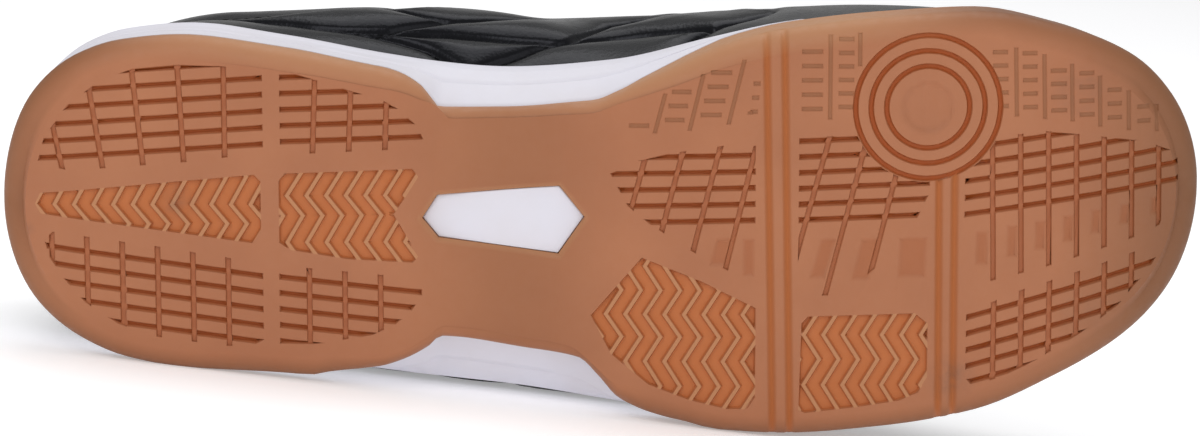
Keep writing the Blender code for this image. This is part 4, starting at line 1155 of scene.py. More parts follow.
pad = bmesh.ops.create_circle(midsole_bm, cap_ends=True, radius=1, segments=len(WINDOW_CORNERS))["verts"]
pad_low = float(ground_height(PAD_GROUND_AT)) + PAD_SUNK
for vert, corner in zip(pad, WINDOW_CORNERS):
    vert.co = (*(PAD_MIDDLE + (corner - PAD_MIDDLE) * PAD_SHRINK) * MM, pad_low)
raised = bmesh.ops.extrude_face_region(midsole_bm, geom=list(pad[0].link_faces))["geom"]
raised_verts = [part for part in raised if isinstance(part, bmesh.types.BMVert)]
bmesh.ops.translate(midsole_bm, vec=(0, 0, PAD_THICKNESS), verts=raised_verts)
bmesh.ops.recalc_face_normals(midsole_bm, faces=list({face for vert in pad for face in vert.link_faces}))
round_edges(midsole_bm, list({edge for vert in pad for edge in vert.link_edges}), PAD_ROUND)
soften(midsole_bm, 50)

FOAM_WHITE = (0.70, 0.69, 0.76, 1)
FOAM_WARM = (0.68, 0.66, 0.71, 1)
foam_material, foam_tree, foam_shader = new_material("white_foam")
foam_tree.links.new(patchy(foam_tree, 60, FOAM_WHITE, FOAM_WARM), foam_shader.inputs["Base Color"])
grain(foam_tree, foam_shader, 900, 0.5, 0.7, 0.1)
finished_piece("midsole_foam", midsole_bm, [foam_material], ["midsole"])

# Sock liner: a sheet of foam with a knit face, laid loose on the foam's floor inside the upper.
# It has the form of its solid, with its edges rounded.
LINER_ROUND = 1.2 * MM
LINER_SHARP = 60


def copied_node(name):
    """A merged copy of a CAD node's mesh, its triangles joined to four-sided faces where they lie flat."""
    bm = bmesh.new()
    bm.from_mesh(frame["nodes"][name].data)
    bmesh.ops.remove_doubles(bm, verts=bm.verts, dist=0.01 * MM)
    bmesh.ops.dissolve_limit(bm, angle_limit=math.radians(1), verts=bm.verts, edges=bm.edges)
    bmesh.ops.join_triangles(
        bm, faces=bm.faces, angle_face_threshold=math.radians(40), angle_shape_threshold=math.radians(70)
    )
    bm.transform(LAID_DOWN.inverted())
    return bm


insole_bm = copied_node("insole")
liner_edges = [edge for edge in insole_bm.edges if edge.is_manifold]
liner_edges = [edge for edge in liner_edges if edge.calc_face_angle() > math.radians(LINER_SHARP)]
round_edges(insole_bm, liner_edges, LINER_ROUND)
soften(insole_bm, LINER_SHARP)

KNIT_BLACK = (0.020, 0.020, 0.022, 1)
KNIT_GREY = (0.060, 0.060, 0.064, 1)
KNIT_HEIGHT = 0.4 * MM
# Shared effect: knit cloth as two crossing waves of fine loops.
KNIT, knit_in, knit_out = effect_group(
    "knit_loops",
    {"Scale": 260.0, "Dark": KNIT_BLACK, "Light": KNIT_GREY},
    {"Colour": "NodeSocketColor", "Height": "NodeSocketFloat"},
)
knit_place = add_node(KNIT, "ShaderNodeTexCoord").outputs["Object"]
knit_waves = []
for direction in ("X", "Z"):
    wave = add_node(KNIT, "ShaderNodeTexWave", bands_direction=direction, Distortion=0.6)
    KNIT.links.new(knit_in["Scale"], wave.inputs["Scale"])
    KNIT.links.new(knit_place, wave.inputs["Vector"])
    knit_waves.append(wave.outputs["Fac"])
knit_loops = reckoned(KNIT, "MULTIPLY", *knit_waves)
KNIT.links.new(mix_colours(KNIT, knit_loops, knit_in["Dark"], knit_in["Light"]), knit_out["Colour"])
KNIT.links.new(knit_loops, knit_out["Height"])


def knit_material(name, scale, dark, light):
    """Knit cloth of one scale, between two colours."""
    made, tree, shader = new_material(name, 0.9)
    node = add_node(tree, "ShaderNodeGroup", node_tree=KNIT, Scale=scale, Dark=dark, Light=light)
    tree.links.new(node.outputs["Colour"], shader.inputs["Base Color"])
    bump(tree, shader, node.outputs["Height"], 0.4, KNIT_HEIGHT)
    return made


liner_material = knit_material("knit_liner", 260, KNIT_BLACK, KNIT_GREY)
finished_piece("sock_liner", insole_bm, [liner_material], ["insole"])

# Upper: black synthetic leather over foam, quilted along its sides by wavy crossing seams, with a knit lining
# and a padded collar. It is lasted under the foot and cemented into the midsole's rim.
INSTEP_HEIGHT = 90 * MM
HEEL_HEIGHT = 86 * MM
UPPER_WALL = 2.0 * MM
# Top edge of the upper from the heel along the collar and down the throat. x and half width in millimetres;
# height: share of HEEL_HEIGHT up to the collar's lowest point, of INSTEP_HEIGHT past it.
Topline = namedtuple("Topline", "share x half_width height")
TOPLINE = [
    Topline(0.00, 10.5, 0.0, 1.000),
    Topline(0.05, 11.6, 10.0, 0.994),
    Topline(0.10, 15.0, 18.5, 0.970),
    Topline(0.20, 30.0, 30.0, 0.860),
    Topline(0.30, 54.0, 36.0, 0.785),
    Topline(0.40, 83.0, 35.5, 0.775),
    Topline(0.48, 105.0, 29.0, 0.890),
    Topline(0.54, 119.0, 22.0, 1.000),
    Topline(0.62, 134.0, 18.5, 0.945),
    Topline(0.72, 151.0, 16.0, 0.860),
    Topline(0.82, 168.0, 14.5, 0.775),
    Topline(0.92, 184.0, 11.0, 0.695),
    Topline(0.97, 190.5, 6.0, 0.662),
    Topline(1.00, 192.5, 0.0, 0.652),
]
COLLAR_LOW_SHARE = 0.36
# Shape of each wall section of the upper, as the two handles of a curve from bite line to top edge, in
# millimetres. rise: up from the bite line; medial and lateral: outward from it; spread and drop: outward and
# down from the top edge.
Wall = namedtuple("Wall", "share rise medial lateral spread drop")
WALLS = [
    Wall(0.00, 20.0, 4.0, 4.0, 0.5, 20.0),
    Wall(0.15, 20.0, 0.5, 3.0, 2.0, 20.0),
    Wall(0.30, 18.0, 5.5, 9.0, 3.5, 16.0),
    Wall(0.40, 20.0, 14.0, 24.0, 8.5, 18.0),
    Wall(0.47, 20.0, 12.0, 26.0, 13.0, 18.0),
    Wall(0.54, 20.0, 4.0, 19.0, 17.0, 18.0),
    Wall(0.62, 20.0, 0.5, 9.0, 22.0, 16.5),
    Wall(0.70, 20.0, 0.5, 4.0, 27.0, 15.0),
    Wall(0.85, 19.0, 1.0, 1.0, 41.0, 10.0),
    Wall(1.00, 19.0, 2.0, 2.0, 52.0, 8.0),
]
# Quilting seams of each side, as (share round the shoe, share of the way up).
SEAMS = {
    "belt": [
        (0, 0.43), (0.14, 0.45), (0.25, 0.44), (0.29, 0.41), (0.324, 0.325), (0.34, 0.27), (0.354, 0.24),
        (0.367, 0.215), (0.378, 0.19), (0.39, 0.16), (0.406, 0.12), (0.414, 0.08), (0.424, 0.03), (0.43, 0),
    ],
    "first_rise": [
        (0.354, 0.24), (0.372, 0.235), (0.384, 0.24), (0.394, 0.275), (0.406, 0.32), (0.419, 0.365),
        (0.432, 0.405), (0.452, 0.44), (0.466, 0.465), (0.484, 0.485), (0.51, 0.53), (0.54, 0.6),
    ],
    "fall": [(0.36, 0.74), (0.385, 0.66), (0.4, 0.58), (0.411, 0.48), (0.421, 0.425), (0.432, 0.405)],
    "middle": [
        (0.373, 0.205), (0.385, 0.22), (0.403, 0.23), (0.423, 0.25), (0.44, 0.25), (0.455, 0.242),
        (0.47, 0.23), (0.482, 0.22), (0.491, 0.24), (0.504, 0.3), (0.52, 0.36), (0.542, 0.425),
        (0.556, 0.44), (0.57, 0.455), (0.6, 0.5), (0.63, 0.58),
    ],
    "second_fall": [
        (0.486, 0.225), (0.472, 0.19), (0.463, 0.155), (0.451, 0.11), (0.441, 0.075), (0.434, 0.04),
        (0.428, 0),
    ],
    "second_rise": [
        (0.486, 0.225), (0.495, 0.24), (0.508, 0.265), (0.525, 0.28), (0.54, 0.275), (0.552, 0.26),
        (0.565, 0.245), (0.574, 0.22),
    ],
    "third_rise": [
        (0.532, 0), (0.545, 0.1), (0.554, 0.15), (0.561, 0.175), (0.569, 0.205), (0.579, 0.235),
        (0.59, 0.255), (0.6, 0.275), (0.61, 0.295), (0.64, 0.36), (0.67, 0.46),
    ],
}
# Seams that run out in the padding, with the end that does: 0 the first, 1 the last.
FREE_ENDS = {"first_rise": 1, "fall": 0, "middle": 1, "third_rise": 1}
SEAM_FADE = 0.25
# Creases of each side where the foot bends, in the same shares.
CREASES = {
    "ball_front": [(0.655, 0.42), (0.69, 0.52), (0.74, 0.64), (0.81, 0.76), (0.90, 0.86)],
    "ball_middle": [(0.62, 0.50), (0.65, 0.58), (0.69, 0.67), (0.75, 0.77), (0.83, 0.86)],
    "toe_box": [(0.74, 0.44), (0.78, 0.52), (0.84, 0.60), (0.92, 0.66)],
    "ankle": [(0.20, 0.62), (0.25, 0.56), (0.31, 0.55), (0.36, 0.60)],
}
QUILT_FULL = 1.9 * MM
QUILT_SEAM = 0.9 * MM
QUILT_SPRING = 2.6 * MM
SEAM_ROUND = 0.4 * MM
SEAM_WIDTH = 0.8 * MM
SEAM_FINE = 4.0 * MM
CREASE_DEPTH = 0.9 * MM
CREASE_WIDTH = 2.6 * MM
CREASE_LIP, CREASE_LIP_AT = 0.35, 2.2
COLLAR_PAD = 3.5 * MM
COLLAR_BAND = 16.0 * MM
EYESTAY_WIDTH = 17.0 * MM
EYESTAY_STEP = 0.7 * MM
EYESTAY_EDGE = 0.8 * MM
COLLAR_SWELL = 1.2 * MM
# Where the quilting and the collar's padding end and the eyestay starts: share round the shoe, and the share
# that each fades over.
QUILT_END, QUILT_FADE = 0.80, 0.10
COLLAR_END, COLLAR_FADE = 0.50, 0.08
EYESTAY_START, EYESTAY_FADE = 0.47, 0.04
QUILT_FROM_LOW = 3.0 * MM
QUILT_FROM_TOP = 6.0 * MM


def upper_point(share, side, up):
    """A point on the outside of the upper. up: 0 at the bite line, 1 at the top edge."""
    share, side = np.asarray(share, float), np.asarray(side)
    up = np.asarray(up, float)[..., None]
    inset = section("lean", share) * MM + RIM_THICKNESS + FIT_GAP
    out = outward_at(share, side)
    low = np.concatenate(
        [outline_at(share, side) - out * inset[..., None], section("bite", share)[..., None] * MM], -1
    )
    full = [HEEL_HEIGHT if row.share < COLLAR_LOW_SHARE else INSTEP_HEIGHT for row in TOPLINE]
    heights = [row.height * whole for row, whole in zip(TOPLINE, full)]
    high = np.stack(
        [
            column(TOPLINE, "x", share) * MM,
            column(TOPLINE, "half_width", share) * MM * side,
            smooth([row.share for row in TOPLINE], heights, share),
        ],
        -1,
    )
    away = unit(out * 2 + unit((low - high)[..., :2]))
    wall = {name: (column(WALLS, name, share) * MM)[..., None] for name in Wall._fields[1:]}
    flare = np.where((side > 0)[..., None], wall["lateral"], wall["medial"])
    first = low + np.concatenate([out * flare, wall["rise"]], -1)
    second = high + np.concatenate([away * wall["spread"], -wall["drop"]], -1)
    return (
        low * (1 - up) ** 3
        + first * 3 * up * (1 - up) ** 2
        + second * 3 * up**2 * (1 - up)
        + high * up**3
    )


UPPER_STATIONS = 200
UPPER_ROWS = 80
INNER_ROWS = 28
shares, sides = both_sides(np.linspace(0, 1, UPPER_STATIONS + 1))
ups = np.linspace(0, 1, UPPER_ROWS + 1)
plain = np.array([upper_point(shares, sides, np.full(shares.shape, up)) for up in ups])
around = np.roll(plain, -1, 1) - np.roll(plain, 1, 1)
upward = np.gradient(plain, axis=0)
facing = unit(np.cross(around, upward))
steps_up = np.linalg.norm(np.diff(plain, axis=0), axis=-1)
from_low = np.vstack([np.zeros(len(shares)), np.cumsum(steps_up, 0)])
from_top = from_low[-1] - from_low
RUN_POINTS = 500


def runs_on_upper(table):
    """Each row of a table of seams or creases, on both sides, as a dense run of points on the upper."""
    runs = []
    at = np.linspace(0, 1, RUN_POINTS)
    for points in table.values():
        knots = np.linspace(0, 1, len(points))
        share = smooth(knots, [point[0] for point in points], at)
        up = smooth(knots, [point[1] for point in points], at)
        runs += [upper_point(share, np.full(at.shape, side), up) for side in (-1, 1)]
    return runs


def finder_of(points):
    """A search tree of points."""
    finder = KDTree(len(points))
    for index, point in enumerate(points):
        finder.insert(point, index)
    finder.balance()
    return finder


seam_runs = runs_on_upper(SEAMS)
seam_finder = finder_of(np.concatenate(seam_runs))
crease_finder = finder_of(np.concatenate(runs_on_upper(CREASES)))
along_run = np.linspace(0, 1, RUN_POINTS)
crease_strength = np.tile(np.sin(along_run * math.pi), 2 * len(CREASES))
seam_strengths = []
for name in SEAMS:
    from_end = np.abs(along_run - FREE_ENDS[name]) / SEAM_FADE if name in FREE_ENDS else np.ones(RUN_POINTS)
    seam_strengths += [eased(from_end)] * 2
seam_strength = np.concatenate(seam_strengths)


def padding_at(point, quilted, lift):
    """How far the padding lifts a place of the plain upper, with its seams and creases."""
    _, seam_place, from_seam = seam_finder.find(point)
    _, crease_place, from_crease = crease_finder.find(point)
    held = math.exp((SEAM_ROUND - math.hypot(from_seam, SEAM_ROUND)) / QUILT_SPRING)
    cut = math.exp(-((from_seam / SEAM_WIDTH) ** 2))
    puff = QUILT_FULL - seam_strength[seam_place] * (QUILT_FULL * held + QUILT_SEAM * cut)
    from_crease /= CREASE_WIDTH
    fold = math.exp(-(from_crease**2)) - CREASE_LIP * math.exp(-((from_crease - CREASE_LIP_AT) ** 2))
    return puff * quilted + lift - CREASE_DEPTH * crease_strength[crease_place] * fold


# quilted: 1 where the sides are quilted; lift: the padding of the collar and the thickness of the eyestay.
quilted = share_of((QUILT_END - shares) / QUILT_FADE) * share_of(from_low / QUILT_FROM_LOW)
quilted = quilted * share_of((from_top - EYESTAY_WIDTH) / QUILT_FROM_TOP)
collar = share_of(1 - np.abs(from_top - 0.5 * COLLAR_BAND) / (0.5 * COLLAR_BAND))
collar = np.sin(collar * math.pi / 2) ** 2 * share_of((COLLAR_END - shares) / COLLAR_FADE)
eyestay = share_of((EYESTAY_WIDTH - from_top) / EYESTAY_EDGE)
eyestay = eyestay * share_of((shares - EYESTAY_START) / EYESTAY_FADE)
lift = COLLAR_SWELL * collar + EYESTAY_STEP * eyestay
places = zip(plain.reshape(-1, 3), quilted.ravel(), lift.ravel())
padding = np.array([padding_at(*place) for place in places]).reshape(lift.shape)
outer = plain + facing * padding[..., None]

wall = UPPER_WALL + COLLAR_PAD * collar
inner_rows = np.linspace(UPPER_ROWS, 0, INNER_ROWS + 1).round().astype(int)
inner = (plain - facing * wall[..., None])[inner_rows]
past_top = unit(upward[-1])
edge_half = (padding[-1] + wall[-1])[:, None] / 2
edge_middle = outer[-1] - facing[-1] * edge_half
rolls = [
    edge_middle + (facing[-1] * math.cos(turn) + past_top * math.sin(turn)) * edge_half
    for turn in np.radians([20, 50, 90, 130, 160])
]
feather = np.column_stack([outline_at(shares, sides), section("floor", shares) * MM + FIT_GAP])
feather_inset = section("lean", shares) * MM + RIM_THICKNESS + FIT_GAP + RIM_DRAFT
feather[:, :2] -= outward_at(shares, sides) * feather_inset[:, None]
feather_inner = feather.copy()
feather_inner[:, :2] -= outward_at(shares, sides) * UPPER_WALL
upper_rows = closed_rows([feather, *plain, *rolls, *inner, feather_inner, feather])

# The outer face is drawn plain, cut finer along the seams, and only then padded.
upper_bm = bmesh.new()
facing_of = upper_bm.verts.layers.float_vector.new("facing")
quilted_of = upper_bm.verts.layers.float.new("quilted")
lift_of = upper_bm.verts.layers.float.new("lift")
within = upper_bm.verts.layers.float.new("within")
LEATHER, LINING = 0, 1
LINING_OVER = 3
first_inner = 1 + len(plain) + len(rolls)
row_of = {}
for index, vert in enumerate(mapped_grid(upper_bm, upper_rows, LEATHER)):
    row, place = divmod(index, upper_rows.shape[1])
    row_of[vert] = row
    if 1 <= row <= len(plain):
        at = (row - 1, place % len(shares))
        vert[facing_of], vert[quilted_of], vert[lift_of] = facing[at], quilted[at], lift[at]
    vert[within] = float(first_inner <= row < len(upper_rows) - 1)
for face in upper_bm.faces:
    if min(row_of[vert] for vert in face.verts) >= first_inner - LINING_OVER:
        face.material_index = LINING
sew(upper_bm)
by_seam = {vert for vert in upper_bm.verts if vert[quilted_of] and seam_finder.find(vert.co)[2] < SEAM_FINE}
seam_edges = [edge for edge in upper_bm.edges if by_seam.issuperset(edge.verts)]
bmesh.ops.subdivide_edges(upper_bm, edges=seam_edges, cuts=2, use_grid_fill=True)
# The side that the shoe lies on is pressed flat by the floor, its lining by a wall's thickness above it.
FLOOR_CLEARANCE = 0.2 * MM
up_from_floor = LAID_TURN.transposed() @ Vector((0, 0, 1))
for vert in upper_bm.verts:
    if vert[facing_of].length > 0.5:
        vert.co += vert[facing_of].normalized() * padding_at(vert.co, vert[quilted_of], vert[lift_of])
    pressed = FLOOR_CLEARANCE + UPPER_WALL * vert[within] - (LAID_DOWN @ vert.co).z
    vert.co += up_from_floor * max(pressed, 0)

# Six pairs of eyelets, punched straight down through the eyestay and its lining.
EYELET_PLACES = [130, 140, 150, 160, 170, 180]
EYELET_FROM_EDGE = 7.5 * MM
EYELET_DIAMETER = 4.4 * MM
EYELET_CORNERS = 14
# The throat starts at this share round the shoe. The eyestay lies between these places, in millimetres.
THROAT_SHARE = 0.54
EYESTAY_FROM, EYESTAY_TO, EYESTAY_REACH, EYESTAY_LOW = 120, 190, 40, 45
near_shares, near_ups = np.linspace(0.4, 0.998, 121), np.linspace(0.5, 0.998, 81)
EYESTAY = {
    side: upper_point(*np.broadcast_arrays(near_shares, side, near_ups[:, None])) for side in (-1, 1)
}


def upper_over(x, y):
    """(point, outward normal) on the top of the upper, straight above a place of the ground."""
    side = -1 if y < 0 else 1
    target = np.array([x, y])
    places = EYESTAY[side]
    away = np.linalg.norm(places[..., :2] - target, axis=-1)
    row, place = np.unravel_index(away.argmin(), away.shape)
    share, up = near_shares[place], near_ups[row]
    step = 0.002
    point = places[row, place]
    by_share = (upper_point(share + step, side, up) - point) / step
    by_up = (upper_point(share, side, up + step) - point) / step
    move = np.linalg.solve(np.column_stack([by_share[:2], by_up[:2]]), target - point[:2])
    point = point + by_share * move[0] + by_up * move[1]
    normal = np.cross(by_share, by_up)
    normal *= math.copysign(1, normal[2])
    return point, unit(normal)


def throat_half(x):
    """Half the width of the throat at a distance from the heel."""
    rows = [row for row in TOPLINE if row.share >= THROAT_SHARE]
    return smooth([row.x for row in rows], [row.half_width for row in rows], x / MM) * MM


eyestay_faces = {LEATHER: [], LINING: []}
for face in upper_bm.faces:
    middle = face.calc_center_median() / MM
    lengthwise = EYESTAY_FROM < middle.x < EYESTAY_TO
    if lengthwise and abs(middle.y) < EYESTAY_REACH and middle.z > EYESTAY_LOW:
        eyestay_faces[face.material_index].append(face)
for x in EYELET_PLACES:
    for side in (-1, 1):
        point, normal = upper_over(x * MM, side * (throat_half(x * MM) + EYELET_FROM_EDGE))
        slant = np.array([math.hypot(normal[0], normal[2]), math.hypot(normal[1], normal[2])]) / normal[2]
        hole = point[:2] + circle(EYELET_CORNERS) * EYELET_DIAMETER / 2 / slant
        for kind, faces in eyestay_faces.items():
            punched, eyestay_faces[kind] = carve(faces, hole)
            bmesh.ops.delete(upper_bm, geom=punched, context="FACES")
        bmesh.ops.bridge_loops(upper_bm, edges=open_edges(upper_bm))
soften(upper_bm, 70)

LEATHER_BLACK = (0.0012, 0.0013, 0.0018, 1)
LEATHER_WORN = (0.0022, 0.0024, 0.0030, 1)
LEATHER_SHEEN = (0.84, 0.85, 0.96, 1)
leather_material, leather_tree, leather_shader = new_material("black_leather")
leather_shader.inputs["Specular IOR Level"].default_value = 0.2
leather_shader.inputs["Specular Tint"].default_value = LEATHER_SHEEN
leather_colour = patchy(leather_tree, 50, LEATHER_BLACK, LEATHER_WORN)
leather_tree.links.new(leather_colour, leather_shader.inputs["Base Color"])
grain(leather_tree, leather_shader, 700, 0.22, 0.31)
leather_cells = add_node(leather_tree, "ShaderNodeTexVoronoi", Scale=1100)
leather_place = add_node(leather_tree, "ShaderNodeTexCoord").outputs["Object"]
leather_tree.links.new(leather_place, leather_cells.inputs["Vector"])
bump(leather_tree, leather_shader, leather_cells.outputs["Distance"], 0.12, GRAIN_HEIGHT)
LINING_DARK = (0.028, 0.028, 0.030, 1)
LINING_LIGHT = (0.036, 0.036, 0.039, 1)
lining_material = knit_material("knit_lining", 300, LINING_DARK, LINING_LIGHT)
upper_materials = [leather_material, lining_material]
finished_piece("upper_quilted", upper_bm, upper_materials, ["upper"])

# Stitches: black thread that quilts the sides and holds eyestay and collar. Each stitch is a short float of
# thread that lies on the leather.
STITCH_LENGTH = 2.3 * MM
STITCH_GAP = 0.5 * MM
THREAD = 0.55 * MM
THREAD_LIFT = 0.1 * MM
LEAST_ABOVE_FLOOR = 1.2 * MM
LEAST_STRENGTH = 0.3
# Rows of stitches along the eyestay's two edges and under the collar: between two shares round the shoe, at a
# distance from the top edge.
StitchRow = namedtuple("StitchRow", "low high inset")
STITCH_ROWS = [
    StitchRow(0.49, 1, 2.5 * MM),
    StitchRow(0.49, 1, EYESTAY_WIDTH - 1.4 * MM),
    StitchRow(0, 0.49, COLLAR_BAND),
]


def travelled_along(places):
    """The distance from the start of a run of places to each of them."""
    return np.concatenate([[0], np.cumsum(np.linalg.norm(np.diff(places, axis=0), axis=-1))])


def stitch_along(bm, places, normals):
    """Short floats of thread along a run of places on the padded upper."""
    travelled = travelled_along(places)
    for at in np.arange(STITCH_LENGTH, travelled[-1] - STITCH_LENGTH, STITCH_LENGTH + STITCH_GAP):
        point, ahead = (
            np.array([np.interp(where, travelled, places[:, axis]) for axis in range(3)])
            for where in (at, at + STITCH_LENGTH / 2)
        )
        normal = normals[np.abs(travelled - at).argmin()]
        if (LAID_DOWN @ Vector(point)).z < LEAST_ABOVE_FLOOR:
            continue
        axes = square_axes(Vector(ahead - point), Vector(normal)).to_4x4()
        size = Matrix.Diagonal((STITCH_LENGTH / 2, THREAD / 2, THREAD / 2, 1))
        place = Matrix.Translation(point + normal * THREAD_LIFT)
        bmesh.ops.create_icosphere(bm, subdivisions=1, radius=1, matrix=place @ axes @ size)


stitch_bm = bmesh.new()
upper_finder = finder_of(plain.reshape(-1, 3))
for run, strength in zip(seam_runs, seam_strengths):
    run = run[strength > LEAST_STRENGTH]
    nearest = [upper_finder.find(point)[1] for point in run]
    normals = facing.reshape(-1, 3)[nearest]
    raised = [padding_at(*place) for place in zip(run, quilted.ravel()[nearest], lift.ravel()[nearest])]
    stitch_along(stitch_bm, run + normals * np.array(raised)[:, None], normals)
for side in (-1, 1):
    for row in STITCH_ROWS:
        columns = np.where((shares > row.low) & (shares < row.high) & (sides == side))[0]
        columns = columns[np.argsort(shares[columns])]
        rows = np.abs(from_top[:, columns] - row.inset).argmin(0)
        stitch_along(stitch_bm, outer[rows, columns], facing[rows, columns])
for face in stitch_bm.faces:
    face.smooth = True
THREAD_DARK, THREAD_LIGHT = (0.002, 0.002, 0.0023, 1), (0.006, 0.006, 0.0065, 1)
thread_material, thread_tree, thread_shader = new_material("black_thread")
thread_shader.inputs["Specular IOR Level"].default_value = 0.05
thread_tree.links.new(patchy(thread_tree, 700, THREAD_DARK, THREAD_LIGHT), thread_shader.inputs["Base Color"])
grain(thread_tree, thread_shader, 2500, 0.6, 0.8, 0.3)
finished_piece("stitches", stitch_bm, [thread_material])

# Tongue: a padded strip of cloth over foam under the throat, sewn to the vamp and free at the top.
# It has the form of its solid, rounded.
tongue_bm = copied_node("tongue")
bmesh.ops.recalc_face_normals(tongue_bm, faces=tongue_bm.faces)
for face in tongue_bm.faces:
    face.smooth = True
TONGUE_DARK = (0.014, 0.014, 0.015, 1)
TONGUE_LIGHT = (0.042, 0.042, 0.045, 1)
tongue_material = knit_material("knit_tongue", 240, TONGUE_DARK, TONGUE_LIGHT)
tongue = finished_piece("tongue_padded", tongue_bm, [tongue_material], ["tongue"])
tongue_round = tongue.modifiers.new("round", "SUBSURF")
tongue_round.levels = 2
tongue_round.render_levels = 2

# Lace: one flat woven lace in straight bars, drawn tight. It goes down through the eyelets, runs on under the
# eyestay to its next bar, and both of its ends stop inside the top eyelets.
LACE_WIDTH = 6.0 * MM
LACE_THICKNESS = 1.4 * MM
LACE_CLEARANCE = 0.8 * MM
LACE_CROWN = 1.4 * MM
LACE_UNDER = UPPER_WALL + 1.4 * MM
# The bars in the order that the lace makes them, and the side that each one starts from.
LACE_ORDER = [(0, 1), (2, -1), (4, 1), (5, -1), (3, 1), (1, -1)]
LACE_HEIGHT = LACE_CLEARANCE + LACE_THICKNESS / 2
# Under the eyestay the lace is narrower, and runs beside the eyelets. Its last end goes on past the top
# eyelet: how far along the shoe, and how far outward of the eyelets.
LACE_HIDDEN_WIDTH = 0.8 * LACE_WIDTH
LACE_BESIDE = 1.6 * MM
LACE_END = [(6 * MM, 3 * MM), (0, 4 * MM)]
# Half a bar. share: of the way from its middle to the eyelet; lift: above the upper; width: share of
# LACE_WIDTH.
LaceStep = namedtuple("LaceStep", "share lift width")
LACE_BAR = [
    LaceStep(0.56, LACE_HEIGHT, 1.0),
    LaceStep(0.74, LACE_HEIGHT, 1.0),
    LaceStep(0.88, LACE_HEIGHT, 0.85),
    LaceStep(0.97, 1.0 * MM, 0.6),
    LaceStep(1.0, -0.8 * MM, 0.53),
    LaceStep(1.01, -LACE_UNDER, 0.6),
]
LacePoint = namedtuple("LacePoint", "place across width")
ALONG_SHOE, ACROSS_SHOE = np.array([1.0, 0, 0]), np.array([0, 1.0, 0])


def lace_bar(number, start_side):
    """Points of one bar, from inside its first eyelet to inside its second."""
    x = EYELET_PLACES[number] * MM
    reach = throat_half(x) + EYELET_FROM_EDGE
    halves = {}
    for side in (-1, 1):
        halves[side] = []
        for step in LACE_BAR:
            point, normal = upper_over(x, side * reach * step.share)
            halves[side].append(LacePoint(point + normal * step.lift, ALONG_SHOE, step.width * LACE_WIDTH))
    crown = (halves[-1][0].place + halves[1][0].place) / 2 + np.array([0, 0, LACE_CROWN])
    return halves[start_side][::-1] + [LacePoint(crown, ALONG_SHOE, LACE_WIDTH)] + halves[-start_side]


def lace_under(x, side, outward):
    """A point of the hidden run under the eyestay, some way outward of the eyelets."""
    point, normal = upper_over(x, side * (throat_half(x) + EYELET_FROM_EDGE + outward))
    return LacePoint(point - normal * LACE_UNDER, ACROSS_SHOE, LACE_HIDDEN_WIDTH)


lace_run = []
for n, (number, start_side) in enumerate(LACE_ORDER):
    bar = lace_bar(number, start_side)
    if lace_run:
        from_x, to_x = lace_run[-1].place[0], bar[0].place[0]
        outward = (1 + n % 2) * LACE_BESIDE
        for share in (0.3, 0.7):
            lace_run.append(lace_under(from_x + (to_x - from_x) * share, start_side, outward))
    lace_run += bar
top_x = (EYELET_PLACES[0] - 1) * MM
for past, outward in LACE_END:
    lace_run.append(lace_under(top_x + past, -start_side, outward))

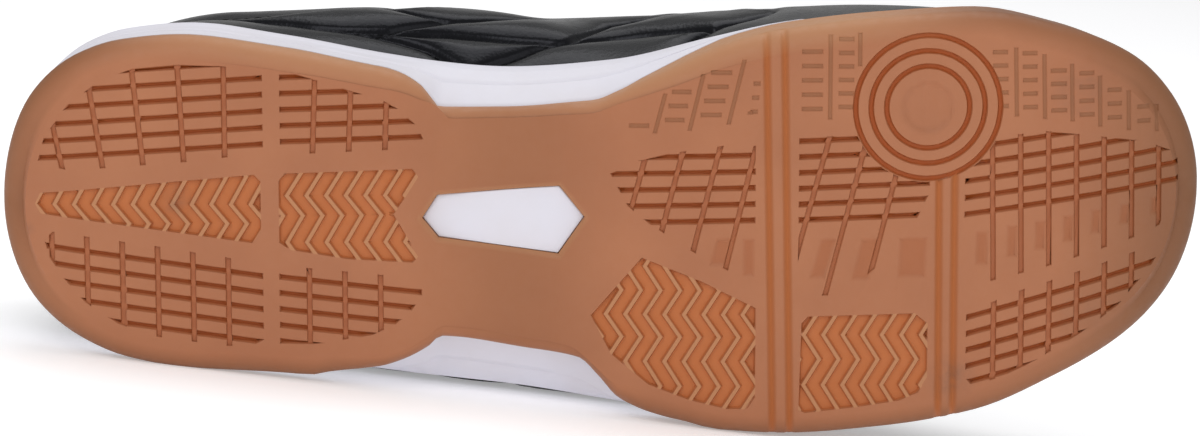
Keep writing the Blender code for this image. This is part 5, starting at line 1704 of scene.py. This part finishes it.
LACE_CORNERS = 12
LACE_FLAT, LACE_ROUND = 0.5, 0.8
POINTS_A_STEP = 7
knots = np.arange(len(lace_run))
at = np.linspace(0, knots[-1], POINTS_A_STEP * len(lace_run))
lace_path, lace_across = (
    np.stack([smooth(knots, [getattr(step, name)[axis] for step in lace_run], at) for axis in range(3)], -1)
    for name in ("place", "across")
)
lace_widths = smooth(knots, [step.width for step in lace_run], at)
lace_travel = travelled_along(lace_path)
lace_ahead = unit(np.gradient(lace_path, axis=0))
lace_across = unit(lace_across - lace_ahead * (lace_across * lace_ahead).sum(-1)[:, None])
lace_thick = np.cross(lace_ahead, lace_across)
turns = np.arange(LACE_CORNERS + 1) * 2 * math.pi / LACE_CORNERS
sideways = np.sign(np.cos(turns)) * np.abs(np.cos(turns)) ** LACE_FLAT
outward = np.sign(np.sin(turns)) * np.abs(np.sin(turns)) ** LACE_ROUND
lace_points = (
    lace_path[:, None]
    + lace_across[:, None] * (sideways * lace_widths[:, None] / 2)[..., None]
    + lace_thick[:, None] * (outward * LACE_THICKNESS / 2)[..., None]
)
lace_bm = bmesh.new()
along_lace = lace_bm.verts.layers.float.new("along")
across_lace = lace_bm.verts.layers.float.new("across")
for index, vert in enumerate(mapped_grid(lace_bm, lace_points, 0)):
    vert[along_lace] = lace_travel[index // (LACE_CORNERS + 1)] / MM
    vert[across_lace] = sideways[index % (LACE_CORNERS + 1)]
bmesh.ops.remove_doubles(lace_bm, verts=lace_bm.verts, dist=MERGE_REACH)
bmesh.ops.holes_fill(lace_bm, edges=open_edges(lace_bm), sides=20)
bmesh.ops.recalc_face_normals(lace_bm, faces=lace_bm.faces)
soften(lace_bm, 70)
# The weave is drawn as slanting ribs that meet along the lace's middle.
WEAVE_PITCH = 1.1
WEAVE_SLANT = 2.0
LACE_DARK = (0.010, 0.010, 0.011, 1)
LACE_LIGHT = (0.040, 0.040, 0.043, 1)
lace_material, lace_tree, lace_shader = new_material("woven_lace", 0.85)
lace_fold = reckoned(lace_tree, "ABSOLUTE", attribute(lace_tree, "across"))
lace_slant = reckoned(lace_tree, "MULTIPLY_ADD", lace_fold, WEAVE_SLANT, attribute(lace_tree, "along"))
lace_turns = reckoned(lace_tree, "MULTIPLY", lace_slant, 2 * math.pi / WEAVE_PITCH)
lace_height = ranged(lace_tree, reckoned(lace_tree, "SINE", lace_turns), -1, 1)
lace_colour = mix_colours(lace_tree, lace_height, LACE_DARK, LACE_LIGHT)
lace_tree.links.new(lace_colour, lace_shader.inputs["Base Color"])
bump(lace_tree, lace_shader, lace_height, 0.5, KNIT_HEIGHT)
lace_bars = [f"lace_bar_{n + 1}" for n in range(len(EYELET_PLACES))]
finished_piece("lace_woven", lace_bm, [lace_material], lace_bars)
